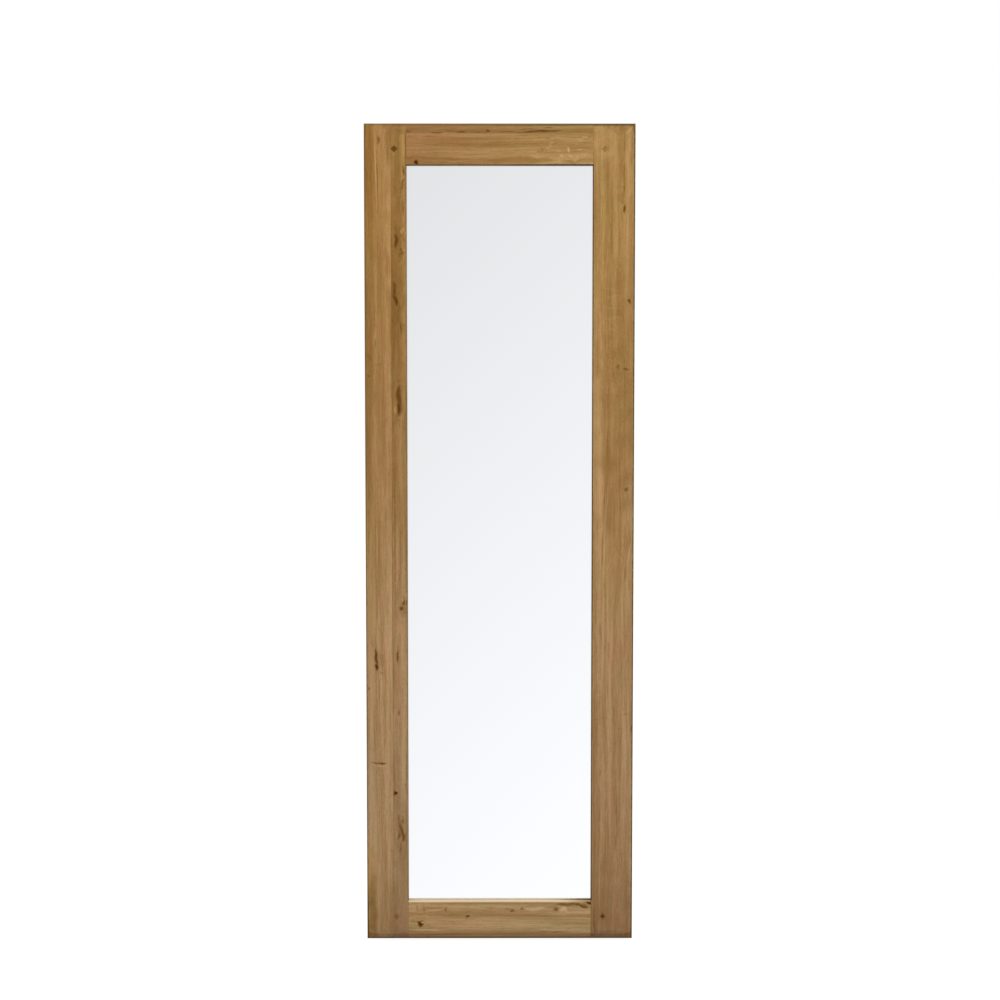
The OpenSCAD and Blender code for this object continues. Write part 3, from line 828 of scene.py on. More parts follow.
BOTTOM_RAIL = Board(
    "rail_bottom", False, (linear(185, 152, 109), linear(183, 154, 113)), (110, 80, 0), 14,
    marks(sunk=[
        (-175, 44.5, 18, 18, 0, 1, 1, 0.6), (-119, 72, 6.5, 11, 0, 0.2, 0.6, 0.6),
        (-71, 57.5, 12, 6, 0, 0.7, 0.95, 0.7), (28, 70.5, 13, 7.5, -8, 0.2, 0.75, 0.5),
        (49.5, 74, 9.5, 8, 0, 0.2, 0.65, 0.6), (125, 74.5, 12, 11, -40, 0.2, 0.8, 0.6),
        (172, 84.5, 20, 7.5, -10, 0.2, 0.9), (184.5, 80, 29, 7, -16, 0.3, 1),
        (197.5, 87.5, 20, 8.5, -8, 1.2, 1),
    ], flat=[
        (-190.5, 47.5, 18, 11, 0, 0.4, 0.3), (-189.5, 89, 27, 4, 0, 0.4),
        (-182.5, 76, 4, 20, 0, 0.45), (-167.5, 72, 5, 14, 10, 0.5),
        (-163.5, 40.5, 22, 11, -20, 0.35, 0.3), (-144.5, 77, 53, 4, 0, 0.5),
        (-107, 46, 24, 5.5, 0, 0.42, 0.2), (-99, 59, 44, 4.5, 0, 0.4), (-70, 68, 27, 3.5, 4, 0.35),
        (-65.5, 88, 212, 5, 0, 0.42), (-52.5, 57, 35, 3.5, 0, 0.3), (-21.5, 76, 33, 5.5, 0, 0.42),
        (17, 74, 16, 4, -10, 0.55), (64, 80, 29, 3, 8, 0.45), (78, 29, 40, 3, 0, 0.35),
        (100.5, 64, 44, 3, -4, 0.35), (100.5, 21, 155, 4, 0, 0.6), (149, 85, 75, 8, -2, 0.75),
        (164, 86.5, 34, 5, 0, 0.85), (184, 84, 30, 5, -6, 0.7), (195.5, 57, 13, 5.5, 0, 0.4, 0.3),
        (-192, 74.5, 18, 22, 0, -0.5), (-176.5, 75.5, 13, 22, 0, -0.4, 0.4),
        (-170.5, 44, 8, 5.5, 0, -1), (-159, 27, 97, 5.5, 0, -0.75), (-145.5, 71, 40, 4.5, 0, -0.7),
        (79.5, 75, 60, 9.5, 0, -0.75), (133.5, 28, 155, 5.5, 0, -0.5),
        (141, 73.5, 20, 14, -14, -1, 0.4), (152, 66.5, 11, 3.5, -20, -0.7),
        (185, 89, 26, 4, -4, -0.4), (191.5, 22, 35, 7, 0, -0.6),
    ]))


# Marks at least this deep, in mm, go through the board and show on its back
THROUGH = 0.5

# For each corner: the peg's tone, the outline round it, and how dark its middle is
PEG_LOOKS = {"top_left": (linear(136, 86, 32), 0.95, 0.0),
             "top_right": (linear(186, 148, 98), 0.05, 0.05),
             "bottom_left": (linear(156, 124, 80), 0.02, 0.45),
             "bottom_right": (linear(140, 106, 72), 0.1, 1.0)}


def mark_offsets(mark, board, x, z):
    """How far across and along a wandering mark each point lies, in halves of its size."""
    across, along = x - mark.x * MM, z - mark.z * MM
    if not board.upright:
        across, along = along, across
    lean = math.radians(mark.lean)
    sideways = across * math.cos(lean) - along * math.sin(lean)
    lengthways = across * math.sin(lean) + along * math.cos(lean)
    level = mark.wide > mark.long
    place, span, thick = lengthways, mark.long, mark.wide
    if level:
        place, span, thick = sideways, mark.wide, mark.long
    wave = min(max(span / 1.6, 6.0), 55.0) * MM
    stray = ripple(place, place * 0.0, wave, int(7 * abs(mark.x) + mark.z)) - 0.5
    stray = 0.7 * thick * MM * stray
    if level:
        lengthways = lengthways + stray
    else:
        sideways = sideways + stray
    return sideways / (mark.wide * MM / 2), lengthways / (mark.long * MM / 2)


def front_depth(x, z, board, oak):
    """Depth of the finished front: the face and its bevels, eased edges, joints, pegs and pits."""
    # The bevels stray a little in width, meet in mitres and are eased along their arris
    side_width = BEVEL_W + oak.bevel_wander * ripple(z, z * 0.0, 0.42, 21)
    end_width = BEVEL_W + oak.bevel_wander * ripple(x, x * 0.0, 0.3, 22)
    from_side = HALF_W - np.abs(x)
    from_end = np.minimum(z, HEIGHT - z)
    slope = soft_max(FACE_Y + BEVEL_D * (1.0 - from_side / side_width),
                     FACE_Y + BEVEL_D * (1.0 - from_end / end_width), 1.2 * MM)
    softness = oak.arris_soft * (0.4 + 1.2 * ripple(x, z, 0.25, 23))
    depth = soft_max(slope, FACE_Y, softness)

    # The outer edge is rounded from the bevel into the side
    radius = oak.edge_radius
    steep = BEVEL_D / BEVEL_W
    hypotenuse = math.hypot(1.0, steep)
    centre = EDGE_Y - steep * radius + radius * hypotenuse
    edge = np.clip(np.minimum(from_side, from_end), 0.0, radius)
    rounded = centre - np.sqrt(radius ** 2 - (radius - edge) ** 2)
    depth = np.where(edge < radius * (1.0 - steep / hypotenuse), np.maximum(depth, rounded), depth)

    # So is the sight edge, from the face into the opening
    beyond = np.maximum(SILL_Z - z, z - HEAD_Z)
    off_opening = np.hypot(np.maximum(np.abs(x) - OPEN_HALF, 0.0), np.maximum(beyond, 0.0))
    sight = radius - np.minimum(off_opening, radius)
    depth = np.maximum(depth, FACE_Y + radius - np.sqrt(radius ** 2 - sight ** 2))

    # Fine grooves follow the joints, the glue line and the pegs, and the marks are sunk in
    shoulder = eased(np.abs(x) - OPEN_HALF, 0.7 * MM) * (beyond > 0.0)
    depth = depth + oak.joint_ease * shoulder + 0.12 * MM * eased(x - GLUE_X, 0.5 * MM)
    for corner, peg in PEG_PLACES.items():
        from_peg = (np.abs(x - peg.x) + np.abs(z - peg.z) - PEG_REACH) / math.sqrt(2.0)
        groove = (0.06 + 0.24 * PEG_LOOKS[corner][1]) * MM
        depth = depth + groove * eased(np.maximum(from_peg, 0.0), 0.9 * MM)
    for mark in board.marks:
        if mark.depth:
            out = np.hypot(*mark_offsets(mark, board, x, z))
            depth = depth + mark.depth * MM * eased(np.maximum(out - 0.35, 0.0), 0.75)
    long_x, long_z = (x, z / 4.0) if board.upright else (x / 4.0, z)
    return depth + 0.03 * MM + oak.waviness * ripple(long_x, long_z, 0.06, board.seed)


def back_depth(x, z, oak):
    """Depth of the finished back, its outer edges rounded."""
    edge = np.minimum(HALF_W - np.abs(x), np.minimum(z, HEIGHT - z))
    short = oak.edge_radius - np.clip(edge, 0.0, oak.edge_radius)
    rounded = oak.edge_radius - np.sqrt(oak.edge_radius ** 2 - short ** 2)
    return BACK_Y - rounded - 0.02 * MM - 0.05 * MM * ripple(x, z / 3.0, 0.08, 31)


def sheet(xs, zs, depth, first):
    """A grid of points at the depths that a function gives, and their numbers from first on."""
    x, z = np.meshgrid(xs, zs)
    points = np.stack([x, depth(x, z), z], axis=2).reshape(-1, 3)
    return points, np.arange(x.size).reshape(x.shape) + first


def grid_faces(index, flip):
    """Quads over a grid of vertex numbers."""
    corners = [index[:-1, :-1], index[1:, :-1], index[1:, 1:], index[:-1, 1:]]
    faces = np.stack([corner.ravel() for corner in corners], axis=1)
    return (faces[:, ::-1] if flip else faces).tolist()


def rim_walls(front, back):
    """The four walls that close two grids of vertex numbers, each of them one face."""
    walls = []
    for f, b, flip in ((front[0], back[0], False), (front[-1], back[-1], True),
                       (front[:, 0], back[:, 0], True), (front[:, -1], back[:, -1], False)):
        loop = [*f.tolist(), *b[::-1].tolist()]
        walls.append(loop[::-1] if flip else loop)
    return walls


def slab_mesh(board, oak):
    """A closed slab a little larger than its board, with the finished front and back."""
    low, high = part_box(board.node)
    over, across, along = 1.0 * MM, 1.0 * MM, 9.0 * MM
    x_step, z_step = (across, along) if board.upright else (along, across)

    def lines(places, reach, fine):
        """The grid's lines fine apart within reach of each place."""
        return [(place, reach, fine) for place in places]

    # The edges, then the bevel's arris and its slope, then the glue line or the pegs
    arris, slope = BEVEL_W + 0.5 * MM, BEVEL_W / 2
    edges_x = lines((-HALF_W, HALF_W, -OPEN_HALF, OPEN_HALF), 0.0, 0.08 * MM)
    edges_z = lines((0.0, HEIGHT, SILL_Z, HEAD_Z), 0.0, 0.08 * MM)
    near_x = lines((arris - HALF_W, HALF_W - arris), 1.2 * MM, 0.5 * MM)
    near_x += lines((slope - HALF_W, HALF_W - slope), slope, 1.0 * MM)
    near_x += lines([GLUE_X], 0.3 * MM, 0.25 * MM)
    near_z = lines((arris, HEIGHT - arris), 1.2 * MM, 0.5 * MM)
    near_z += lines((slope, HEIGHT - slope), slope, 1.0 * MM)
    near_z += lines([peg.z for peg in PEG_PLACES.values()], PEG_REACH, 0.8 * MM)
    marks_x, marks_z, deep_x, deep_z = [], [], [], []
    for mark in board.marks:
        longest = 1.2 if mark.depth else 9.0
        wide, tall = (mark.wide, mark.long) if board.upright else (mark.long, mark.wide)
        marks_x.append((mark.x * MM, wide * MM / 2, min(max(wide / 9, 1.0), longest) * MM))
        marks_z.append((mark.z * MM, tall * MM / 2, min(max(tall / 9, 0.8), longest) * MM))
        if mark.depth >= THROUGH:
            deep_x.append(marks_x[-1])
            deep_z.append(marks_z[-1])
    xs = ladder(low.x - over, high.x + over, x_step, edges_x + near_x + marks_x)
    zs = ladder(low.z - over, high.z + over, z_step, edges_z + near_z + marks_z)
    back_xs = ladder(low.x - over, high.x + over, 6.0 * MM, edges_x + deep_x)
    back_zs = ladder(low.z - over, high.z + over, 12.0 * MM, edges_z + deep_z)
    fronts, front = sheet(xs, zs, lambda x, z: front_depth(x, z, board, oak), 0)
    backs, back = sheet(back_xs, back_zs, lambda x, z: back_depth(x, z, oak), front.size)
    faces = grid_faces(front, True) + grid_faces(back, False) + rim_walls(front, back)
    return closed_mesh(board.node, np.concatenate([fronts, backs]).tolist(), faces)


def lay_grain(mesh, board, oak):
    """Stores the grain's coordinates, which flow round the knots, and how stained each point is."""
    x, y, z = points_of(mesh).T
    across, along = (x.copy(), z) if board.upright else (z.copy(), x)
    stain, pale, pit = np.zeros(len(x)), np.zeros(len(x)), np.zeros(len(x))
    front = np.abs(y - front_depth(x, z, board, oak)) < 0.4 * MM
    back = y > BACK_Y - 0.4 * MM
    for mark in board.marks:
        sideways, lengthways = mark_offsets(mark, board, x, z)
        out = np.hypot(sideways, lengthways)
        on_face = front | back if mark.depth >= THROUGH else front
        half = mark.wide * MM / 2
        if mark.swirl:
            # The grain parts round a knot and closes again beyond, with a dark rim and a pale side
            outside = sideways / np.maximum(out, 1.0) ** 2 * np.exp(-0.12 * np.maximum(out - 1, 0))
            inside = sideways - (1.0 - out)
            bulge = mark.swirl * half * np.where(out < 1.0, inside, outside)
            across = across - bulge * on_face
            side = np.clip(0.5 + 0.5 * sideways, 0.0, 1.0)
            pale = np.maximum(pale, 0.75 * mark.swirl * eased(out - 1.9, 0.6) * side * on_face)
            stain = np.maximum(stain, 0.55 * mark.swirl * eased(out - 1.4, 0.4) * on_face)
        # A flat mark is patchy; a sunk one has a tail along the grain and a dark core
        near = eased(np.maximum(out - 0.4, 0.0), 1.0) * on_face
        if not mark.depth:
            near = near * (0.7 + 0.6 * ripple(x, z, min(mark.long, 40.0) * MM, int(mark.long) + 51))
        if mark.dark < 0.0:
            pale = np.maximum(pale, -mark.dark * near)
            continue
        stain = np.maximum(stain, mark.dark * near)
        if mark.depth:
            tail = np.hypot(sideways / 0.4, lengthways / 2.3)
            stain = np.maximum(stain, 0.7 * mark.dark * eased(tail, 1.0) * on_face)
            core = eased(np.maximum(out - 0.3, 0.0), 0.7) * on_face
            pit = np.maximum(pit, core * min(1.0, 0.2 + 0.5 * mark.depth))
    grain = np.stack([across, y, along], axis=1)
    for name, values in (("grain", grain), ("stain", stain), ("pale", pale), ("pit", pit)):
        store(mesh, name, values)


def build_board(board, oak):
    """Cuts a finished slab to the board's own CAD solid, which gives its joints, rebate and holes."""
    piece = cut("oak_" + board.node, slab_mesh(board, oak), merged_copy(board.node), "INTERSECT")
    mesh = piece.data
    if len(mesh.polygons) < 1000:
        raise RuntimeError("the board " + board.node + " wasn't cut")
    shade(mesh, 32)
    lay_grain(mesh, board, oak)
    paint(mesh, oak_material("Oak " + board.node, oak, board.tones, board.pith,
                             float(board.seed), 2 if board.upright else 0, True))
    finish_piece(piece, "mirror", board.node)


# Turned and strung pieces

def lathe(profile, around, thread=None):
    """A closed mesh turned about Z from (radius, height) pairs that start and end on the axis."""
    turns = [2.0 * math.pi * step / around for step in range(around)]
    rings = []
    for radius, height in profile[1:-1]:
        reaches = [radius + (thread(angle, height) if thread else 0.0) for angle in turns]
        rings.append([(reach * math.cos(angle), reach * math.sin(angle), height)
                      for reach, angle in zip(reaches, turns)])
    tips = [(0.0, 0.0, height) for _, height in (profile[0], profile[-1])]
    return tube("turned", rings, *tips)


def quarter_turn(radius, height, curve, start):
    """Points of a profile on a quarter of a circle round (radius, height), from start degrees."""
    angles = [math.radians(start + 15 * step) for step in range(7)]
    return [(radius + curve * math.cos(angle), height + curve * math.sin(angle))
            for angle in angles]


def islands(node):
    """The separate solids of a CAD node, each as (lowest corner, highest corner)."""
    shape = merged_shape(node)
    waiting, boxes = set(shape.verts), []
    while waiting:
        group, edge = [], [waiting.pop()]
        while edge:
            vertex = edge.pop()
            group.append(vertex.co.copy())
            near = {link.other_vert(vertex) for link in vertex.link_edges} & waiting
            waiting -= near
            edge += near
        boxes.append((Vector(map(min, *group)), Vector(map(max, *group))))
    shape.free()
    return sorted(boxes, key=lambda box: tuple(box[0]))


def grow(name, tree, values):
    """Runs a geometry node tree and keeps what it makes as a plain mesh object."""
    piece = new_object(name, bpy.data.meshes.new(name))
    modifier = piece.modifiers.new("Shape", "NODES")
    modifier.node_group = tree
    for item in tree.interface.items_tree:
        if item.item_type == "SOCKET" and item.in_out == "INPUT" and item.name in values:
            modifier[item.identifier] = values[item.name]
    settle(piece)
    if not piece.data.polygons:
        raise RuntimeError(name + " came out empty")
    return piece


def hand_over(w, geometry, given, result):
    """Ends a geometry tree: real geometry in the material that the tree was given."""
    real = w.node("GeometryNodeRealizeInstances", [geometry.outputs[0]])
    painted = w.node("GeometryNodeSetMaterial", {
        "Geometry": real.outputs[0], "Material": given["Material"]})
    w.feed(result.inputs[0], painted.outputs[0])


def copies_in_place(name):
    """Puts a copy of a piece at each place, turned as the place says."""
    tree, w, given, result = new_group(name, "GeometryNodeTree", {
        "object": ("Places", "Piece"), "material": ("Material",)}, {"geometry": ("Geometry",)})
    places = w.node("GeometryNodeObjectInfo", {"Object": given["Places"]})
    piece = w.node("GeometryNodeObjectInfo", {"Object": given["Piece"]})
    aim = w.node("GeometryNodeInputNamedAttribute", {"Name": "aim"}, data_type="FLOAT_VECTOR")
    turn = w.node("FunctionNodeEulerToRotation", [aim.outputs["Attribute"]])
    copies = w.node("GeometryNodeInstanceOnPoints", {
        "Points": places.outputs["Geometry"], "Instance": piece.outputs["Geometry"],
        "Rotation": turn.outputs[0]})
    hand_over(w, copies, given, result)
    return tree


def set_out(name, pattern, places, material):
    """Copies of one mesh at places, each a (point, direction that the piece's Z takes, spin)."""
    points = bpy.data.meshes.new("places")
    points.from_pydata([tuple(point) for point, _, _ in places], [], [])
    aims = []
    for _, direction, spin in places:
        turn = Vector(direction).to_track_quat("Z", "Y").to_matrix() @ Matrix.Rotation(spin, 3, "Z")
        aims.append(tuple(turn.to_euler()))
    store(points, "aim", aims)
    holders = [new_object("places", points), new_object("pattern", pattern)]
    piece = grow(name, shared_group(copies_in_place),
                 {"Places": holders[0], "Piece": holders[1], "Material": material})
    for holder in holders:
        bpy.data.objects.remove(holder)
    return piece


def mitred_bead(name):
    """A mitred bead: a filleted section run along a line, its ends cut back with depth."""
    tree, w, given, result = new_group(name, "GeometryNodeTree", {
        "number": ("Length", "Width", "Thickness", "Round", "Ease"), "vector": ("Place", "Turn"),
        "material": ("Material",)}, {"geometry": ("Geometry",)})
    half = w.times(given["Length"], 0.5)
    line = w.node("GeometryNodeCurvePrimitiveLine", {
        "Start": w.join(0.0, 0.0, w.times(half, -1.0)), "End": w.join(0.0, 0.0, half)})
    section = w.node("GeometryNodeCurvePrimitiveQuadrilateral", {
        "Width": given["Width"], "Height": given["Thickness"]})
    corner = w.split(w.node("GeometryNodeInputPosition").outputs[0])
    open_corner = w.times(*[w.math("GREATER_THAN", corner[axis], 0.0) for axis in (0, 1)])
    radius = w.sum(given["Ease"], (w.minus(given["Round"], given["Ease"]), open_corner))
    rounded = w.node("GeometryNodeFilletCurve", {
        "Curve": section.outputs[0], "Count": 8, "Radius": radius}, mode="POLY")
    body = w.node("GeometryNodeCurveToMesh", {
        "Curve": line.outputs[0], "Profile Curve": rounded.outputs[0], "Fill Caps": True})
    x, y, z = w.split(w.node("GeometryNodeInputPosition").outputs[0])
    share = w.minus(1.0, w.math("DIVIDE", w.sum(x, (0.5, given["Width"])), half))
    mitred = w.node("GeometryNodeSetPosition", {
        "Geometry": body.outputs[0], "Position": w.join(x, y, w.times(z, share))})
    moved = w.node("GeometryNodeTransform", {
        "Geometry": mitred.outputs[0], "Translation": given["Place"], "Rotation": given["Turn"]})
    hand_over(w, moved, given, result)
    return tree


def bent_ring(name):
    """A bent wire ring: a rectangle filleted small beside the bar and fully at the bow."""
    tree, w, given, result = new_group(name, "GeometryNodeTree", {
        "number": ("Width", "Drop", "Bend", "Wire"), "vector": ("Hinge",),
        "material": ("Material",)}, {"geometry": ("Geometry",)})
    outline = w.node("GeometryNodeCurvePrimitiveQuadrilateral", {
        "Width": given["Width"], "Height": given["Drop"]})
    height = w.split(w.node("GeometryNodeInputPosition").outputs[0])[1]
    less = w.minus(w.times(given["Width"], 0.4998), given["Bend"])
    radius = w.sum(given["Bend"], (less, w.under(height, 0.0)))
    bent = w.node("GeometryNodeFilletCurve", {
        "Curve": outline.outputs[0], "Count": 14, "Radius": radius}, mode="POLY")
    section = w.node("GeometryNodeCurvePrimitiveCircle", {
        "Resolution": 20, "Radius": w.times(given["Wire"], 0.5)})
    wire = w.node("GeometryNodeCurveToMesh", {
        "Curve": bent.outputs[0], "Profile Curve": section.outputs[0]})
    drop = w.join(0.0, 0.0, w.times(given["Drop"], -0.5))
    moved = w.node("GeometryNodeTransform", {
        "Geometry": wire.outputs[0], "Translation": w.vector("ADD", given["Hinge"], drop),
        "Rotation": (math.pi / 2, 0.0, 0.0)})
    hand_over(w, moved, given, result)
    return tree


# Finishes of the pane and the fittings

def handled(w, size):
    """The masks of a handled surface on this material's piece."""
    values = {"Point": object_point(w), "Size": size}
    return w.node("ShaderNodeGroup", values, node_tree=shared_group(handled_surface)).outputs


def metal_material(name, colour, roughness):
    """Plated or drawn metal with a cloudy bloom and fine scratches."""
    material, w, shader = new_material(name, {"Metallic": 1.0})
    worn = handled(w, 4.0 * MM)
    bloom = w.blend(w.times(worn["Blotch"], 0.7), colour, w.tint(colour, (0.78, 0.8, 0.84)))
    dress(w, shader, bloom, w.sum(roughness, (0.16, worn["Blotch"]), (-0.1, worn["Scratch"])),
          w.sum(0.0, (-0.5, worn["Scratch"]), (0.5, worn["Grit"])), 0.03 * MM)
    return material


def dull_material(name, colour, roughness, size, relief):
    """Rubber, foam and other dull stuff: a mottled colour over a gritty surface."""
    material, w, shader = new_material(name, {})
    worn = handled(w, size)
    mottled = w.blend(w.times(worn["Blotch"], 0.45), colour, w.tint(colour, (1.3, 1.3, 1.3)))
    dress(w, shader, mottled, w.sum(roughness, (0.12, worn["Grit"])),
          w.sum(0.0, (1.0, worn["Grit"]), (-0.4, worn["Scratch"])), relief)
    return material


def hardboard_material(colour):
    """The rough side of hardboard: the print of the wire mesh that it was pressed on, and fibres."""
    material, w, shader = new_material("Hardboard", {})
    point = w.vector("MULTIPLY", object_point(w), (1000, 1000, 1000))
    x, _, z = w.split(point)
    mesh = w.times(*[w.math("SINE", w.times(place, 2.0 * math.pi / 1.6)) for place in (x, z)])
    fibre = w.noise(point, (0.5, 0.5, 3.5), detail=4.0)
    cloud = w.noise(point, (60, 60, 90), detail=3.0)
    chip = w.rise(w.noise(point, (2.2, 2.2, 3.0)), 0.66, 0.76)
    deep = w.tint(colour, (0.62, 0.58, 0.54))
    share = w.sum(-0.25, (0.8, fibre), (0.55, cloud), (-0.12, mesh))
    board = w.blend(share, deep, w.tint(colour, (1.35, 1.35, 1.3)))
    dress(w, shader, w.blend(w.times(chip, 0.4), board, deep), w.sum(0.68, (0.15, fibre)),
          w.sum(0.0, (0.5, mesh), (0.6, fibre)), 0.12 * MM)
    return material


def silver_material(pane):
    """The silvered face: a true mirror with a breath of old cleaning marks in its gloss."""
    material, w, shader = new_material("Silvered glass", {"Metallic": 1.0})
    worn = handled(w, 90.0 * MM)
    x, _, z = w.split(object_point(w))
    from_side = w.minus(OPEN_HALF, w.math("ABSOLUTE", x))
    inside = w.smaller(from_side, w.minus(z, SILL_Z), w.minus(HEAD_Z, z))
    rim = w.times(w.fall(inside, 0.0, 6.0 * MM), 0.4)
    dress(w, shader, w.blend(rim, pane.silver, w.tint(pane.silver, (0.9, 0.91, 0.9))),
          w.sum(0.004, (0.006, worn["Blotch"])))
    return material


def glass_edge_material(pane):
    """The ground edge of the pane, frosted and green."""
    material, w, shader = new_material("Ground glass edge", {"IOR": 1.52})
    worn = handled(w, 3.0 * MM)
    dress(w, shader, w.blend(worn["Blotch"], pane.edge, w.tint(pane.edge, (1.4, 1.35, 1.38))),
          w.sum(0.22, (0.25, worn["Grit"])), worn["Grit"], 0.02 * MM)
    return material


# Operators

class OAKMIRROR_OT_stiles(bpy.types.Operator):
    """Cut the right stile and the two staves of the left stile"""

    bl_idname = "oakmirror.stiles"
    bl_label = "Stiles"

    def execute(self, context):
        for board in (OUTER_STAVE, INNER_STAVE, RIGHT_STILE):
            build_board(board, context.scene.mirror_oak)
        return {"FINISHED"}


class OAKMIRROR_OT_rails(bpy.types.Operator):
    """Cut the top and bottom rails with their tenons"""

    bl_idname = "oakmirror.rails"
    bl_label = "Rails"

    def execute(self, context):
        for board in (TOP_RAIL, BOTTOM_RAIL):
            build_board(board, context.scene.mirror_oak)
        return {"FINISHED"}


def peg_mesh(corner):
    """A square peg on its edge, its proud head pared to a low cushion and a little out of true."""
    low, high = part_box("peg_" + corner)
    centre = PEG_PLACES[corner]
    sag = np.random.default_rng(CORNERS.index(corner) + 40).uniform(0.0, 0.02, 4)

    def place(depth, share, side, t):
        """A point at a depth, t of the way along a side of the peg, shrunk to a share."""
        a, b = math.radians(90 * side), math.radians(90 * (side + 1))
        pared = 1.0 - 0.035 * math.exp(-14.0 * min(t, 1.0 - t)) - sag[side] * 4 * t * (1 - t)
        reach = PEG_REACH * share * pared
        return (centre.x + reach * (math.cos(a) * (1 - t) + math.cos(b) * t), depth,
                centre.z + reach * (math.sin(a) * (1 - t) + math.sin(b) * t))

    # Each ring's depth and its share of the peg's size, from the buried end to the head
    rows = [(high.y, 0.96), (high.y - 0.3 * MM, 0.995), (FACE_Y + 0.6 * MM, 0.995),
            (FACE_Y, 0.985), (low.y + 0.5 * MM, 0.955), (low.y + 0.25 * MM, 0.9),
            (low.y + 0.1 * MM, 0.8), (low.y + 0.04 * MM, 0.6), (low.y + 0.02 * MM, 0.3)]
    rings = [[place(depth, share, side, step / PEG_STEPS) for side in range(4)
              for step in range(PEG_STEPS)] for depth, share in rows]
    mesh = tube("peg_" + corner, rings, end=(centre.x, low.y + 0.01 * MM, centre.z))
    shade(mesh, 32)
    x, y, z = points_of(mesh).T
    out = (np.abs(x - centre.x) + np.abs(z - centre.z)) / PEG_REACH
    _, outline, middle = PEG_LOOKS[corner]
    core = middle * eased(np.maximum(out - 0.2, 0.0), 0.75)
    store(mesh, "grain", np.stack([x - centre.x, z - centre.z, y], axis=1))
    store(mesh, "stain", np.maximum(0.9 * outline * eased(out - 0.95, 0.45), core))
    store(mesh, "pale", 0.5 * outline * eased(out, 0.5))
    store(mesh, "pit", core ** 2)
    store(mesh, "line", outline * np.clip((out - 0.86) / 0.1, 0.0, 0.6))
    return mesh


class OAKMIRROR_OT_pegs(bpy.types.Operator):
    """Drive the four square pegs"""

    bl_idname = "oakmirror.pegs"
    bl_label = "Pegs"

    def execute(self, context):
        for seed, corner in enumerate(CORNERS):
            piece = new_object("square_peg_" + corner, peg_mesh(corner))
            tones = PEG_LOOKS[corner][:1] * 2
            paint(piece.data, oak_material("Peg oak " + corner, context.scene.mirror_oak, tones,
                                           (14, -9, 0), 60.0 + seed, 1, False))
            finish_piece(piece, "mirror", "peg_" + corner)
        return {"FINISHED"}


class OAKMIRROR_OT_pane(bpy.types.Operator):
    """Cut and silver the mirror pane"""

    bl_idname = "oakmirror.pane"
    bl_label = "Pane"

    def execute(self, context):
        pane = context.scene.mirror_pane
        low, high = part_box("mirror_pane")
        rings = []
        for y, inset in ((low.y, pane.arris), (low.y + pane.arris, 0.0),
                         (high.y - pane.arris, 0.0), (high.y, pane.arris)):
            left, right, foot, head = low.x + inset, high.x - inset, low.z + inset, high.z - inset
            rings.append([(left, y, foot), (right, y, foot), (right, y, head), (left, y, head)])
        mesh = tube("pane", rings)
        paint(mesh, silver_material(pane), glass_edge_material(pane),
              dull_material("Backing paint", pane.paint, 0.42, 30 * MM, 0.02 * MM))
        # The faces of the ground edge come first, then the silvered front and the painted back
        for face in mesh.polygons[:-2]:
            face.material_index = 1
        mesh.polygons[-1].material_index = 2
        finish_piece(new_object("silvered_pane", mesh), "mirror", "mirror_pane")
        return {"FINISHED"}


class OAKMIRROR_OT_packing(bpy.types.Operator):
    """Finish the foam, packing blocks and backing board"""

    bl_idname = "oakmirror.packing"
    bl_label = "Packing and backing"

    def execute(self, context):
        fittings = context.scene.mirror_fittings
        foam = dull_material("Foam", fittings.foam, 0.8, 2 * MM, 0.15 * MM)
        packing = dull_material("Packing", fittings.packing, 0.6, 6 * MM, 0.05 * MM)
        finishes = {"foam_sheet": foam, "backing_board": hardboard_material(fittings.hardboard),
                    "setting_block_left": packing, "setting_block_right": packing,
                    "edge_packers": packing}
        for node, material in finishes.items():
            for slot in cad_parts[node].material_slots:
                slot.link = "OBJECT"
                slot.material = material
        return {"FINISHED"}


class OAKMIRROR_OT_beads(bpy.types.Operator):
    """Run and mitre the four retaining beads"""

    bl_idname = "oakmirror.beads"
    bl_label = "Beads"

    def execute(self, context):
        tone = linear(168, 134, 90)
        middle = (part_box("bead_bottom")[0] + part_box("bead_top")[1]) / 2
        for seed, (side, turn) in enumerate(BEAD_TURNS.items()):
            node = "bead_" + side
            low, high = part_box(node)
            upright = side in SIDES
            length, width = (high - low).zx if upright else (high - low).xz
            facing = Matrix.Rotation(math.radians(turn), 3, "Y") @ Matrix(
                ((0, 0, 1), (0, 1, 0), (-1, 0, 0)))
            material = oak_material("Bead oak " + side, context.scene.mirror_oak, (tone, tone),
                                    (0, 60, 0), 80.0 + seed, 2 if upright else 0, False)
            piece = grow("oak_bead_" + side, shared_group(mitred_bead), {
                "Length": length, "Width": width, "Thickness": high.y - low.y,
                "Round": 5.0 * MM, "Ease": 0.4 * MM, "Material": material,
                "Place": tuple(middle_of(node)), "Turn": tuple(facing.to_euler())})
            shade(piece.data, 32)
            x, y, z = points_of(piece.data).T
            across, along = (x - middle.x, z) if upright else (z - middle.z, x)
            store(piece.data, "grain", np.stack([across, y, along], axis=1))
            finish_piece(piece, "mirror", node)
        return {"FINISHED"}


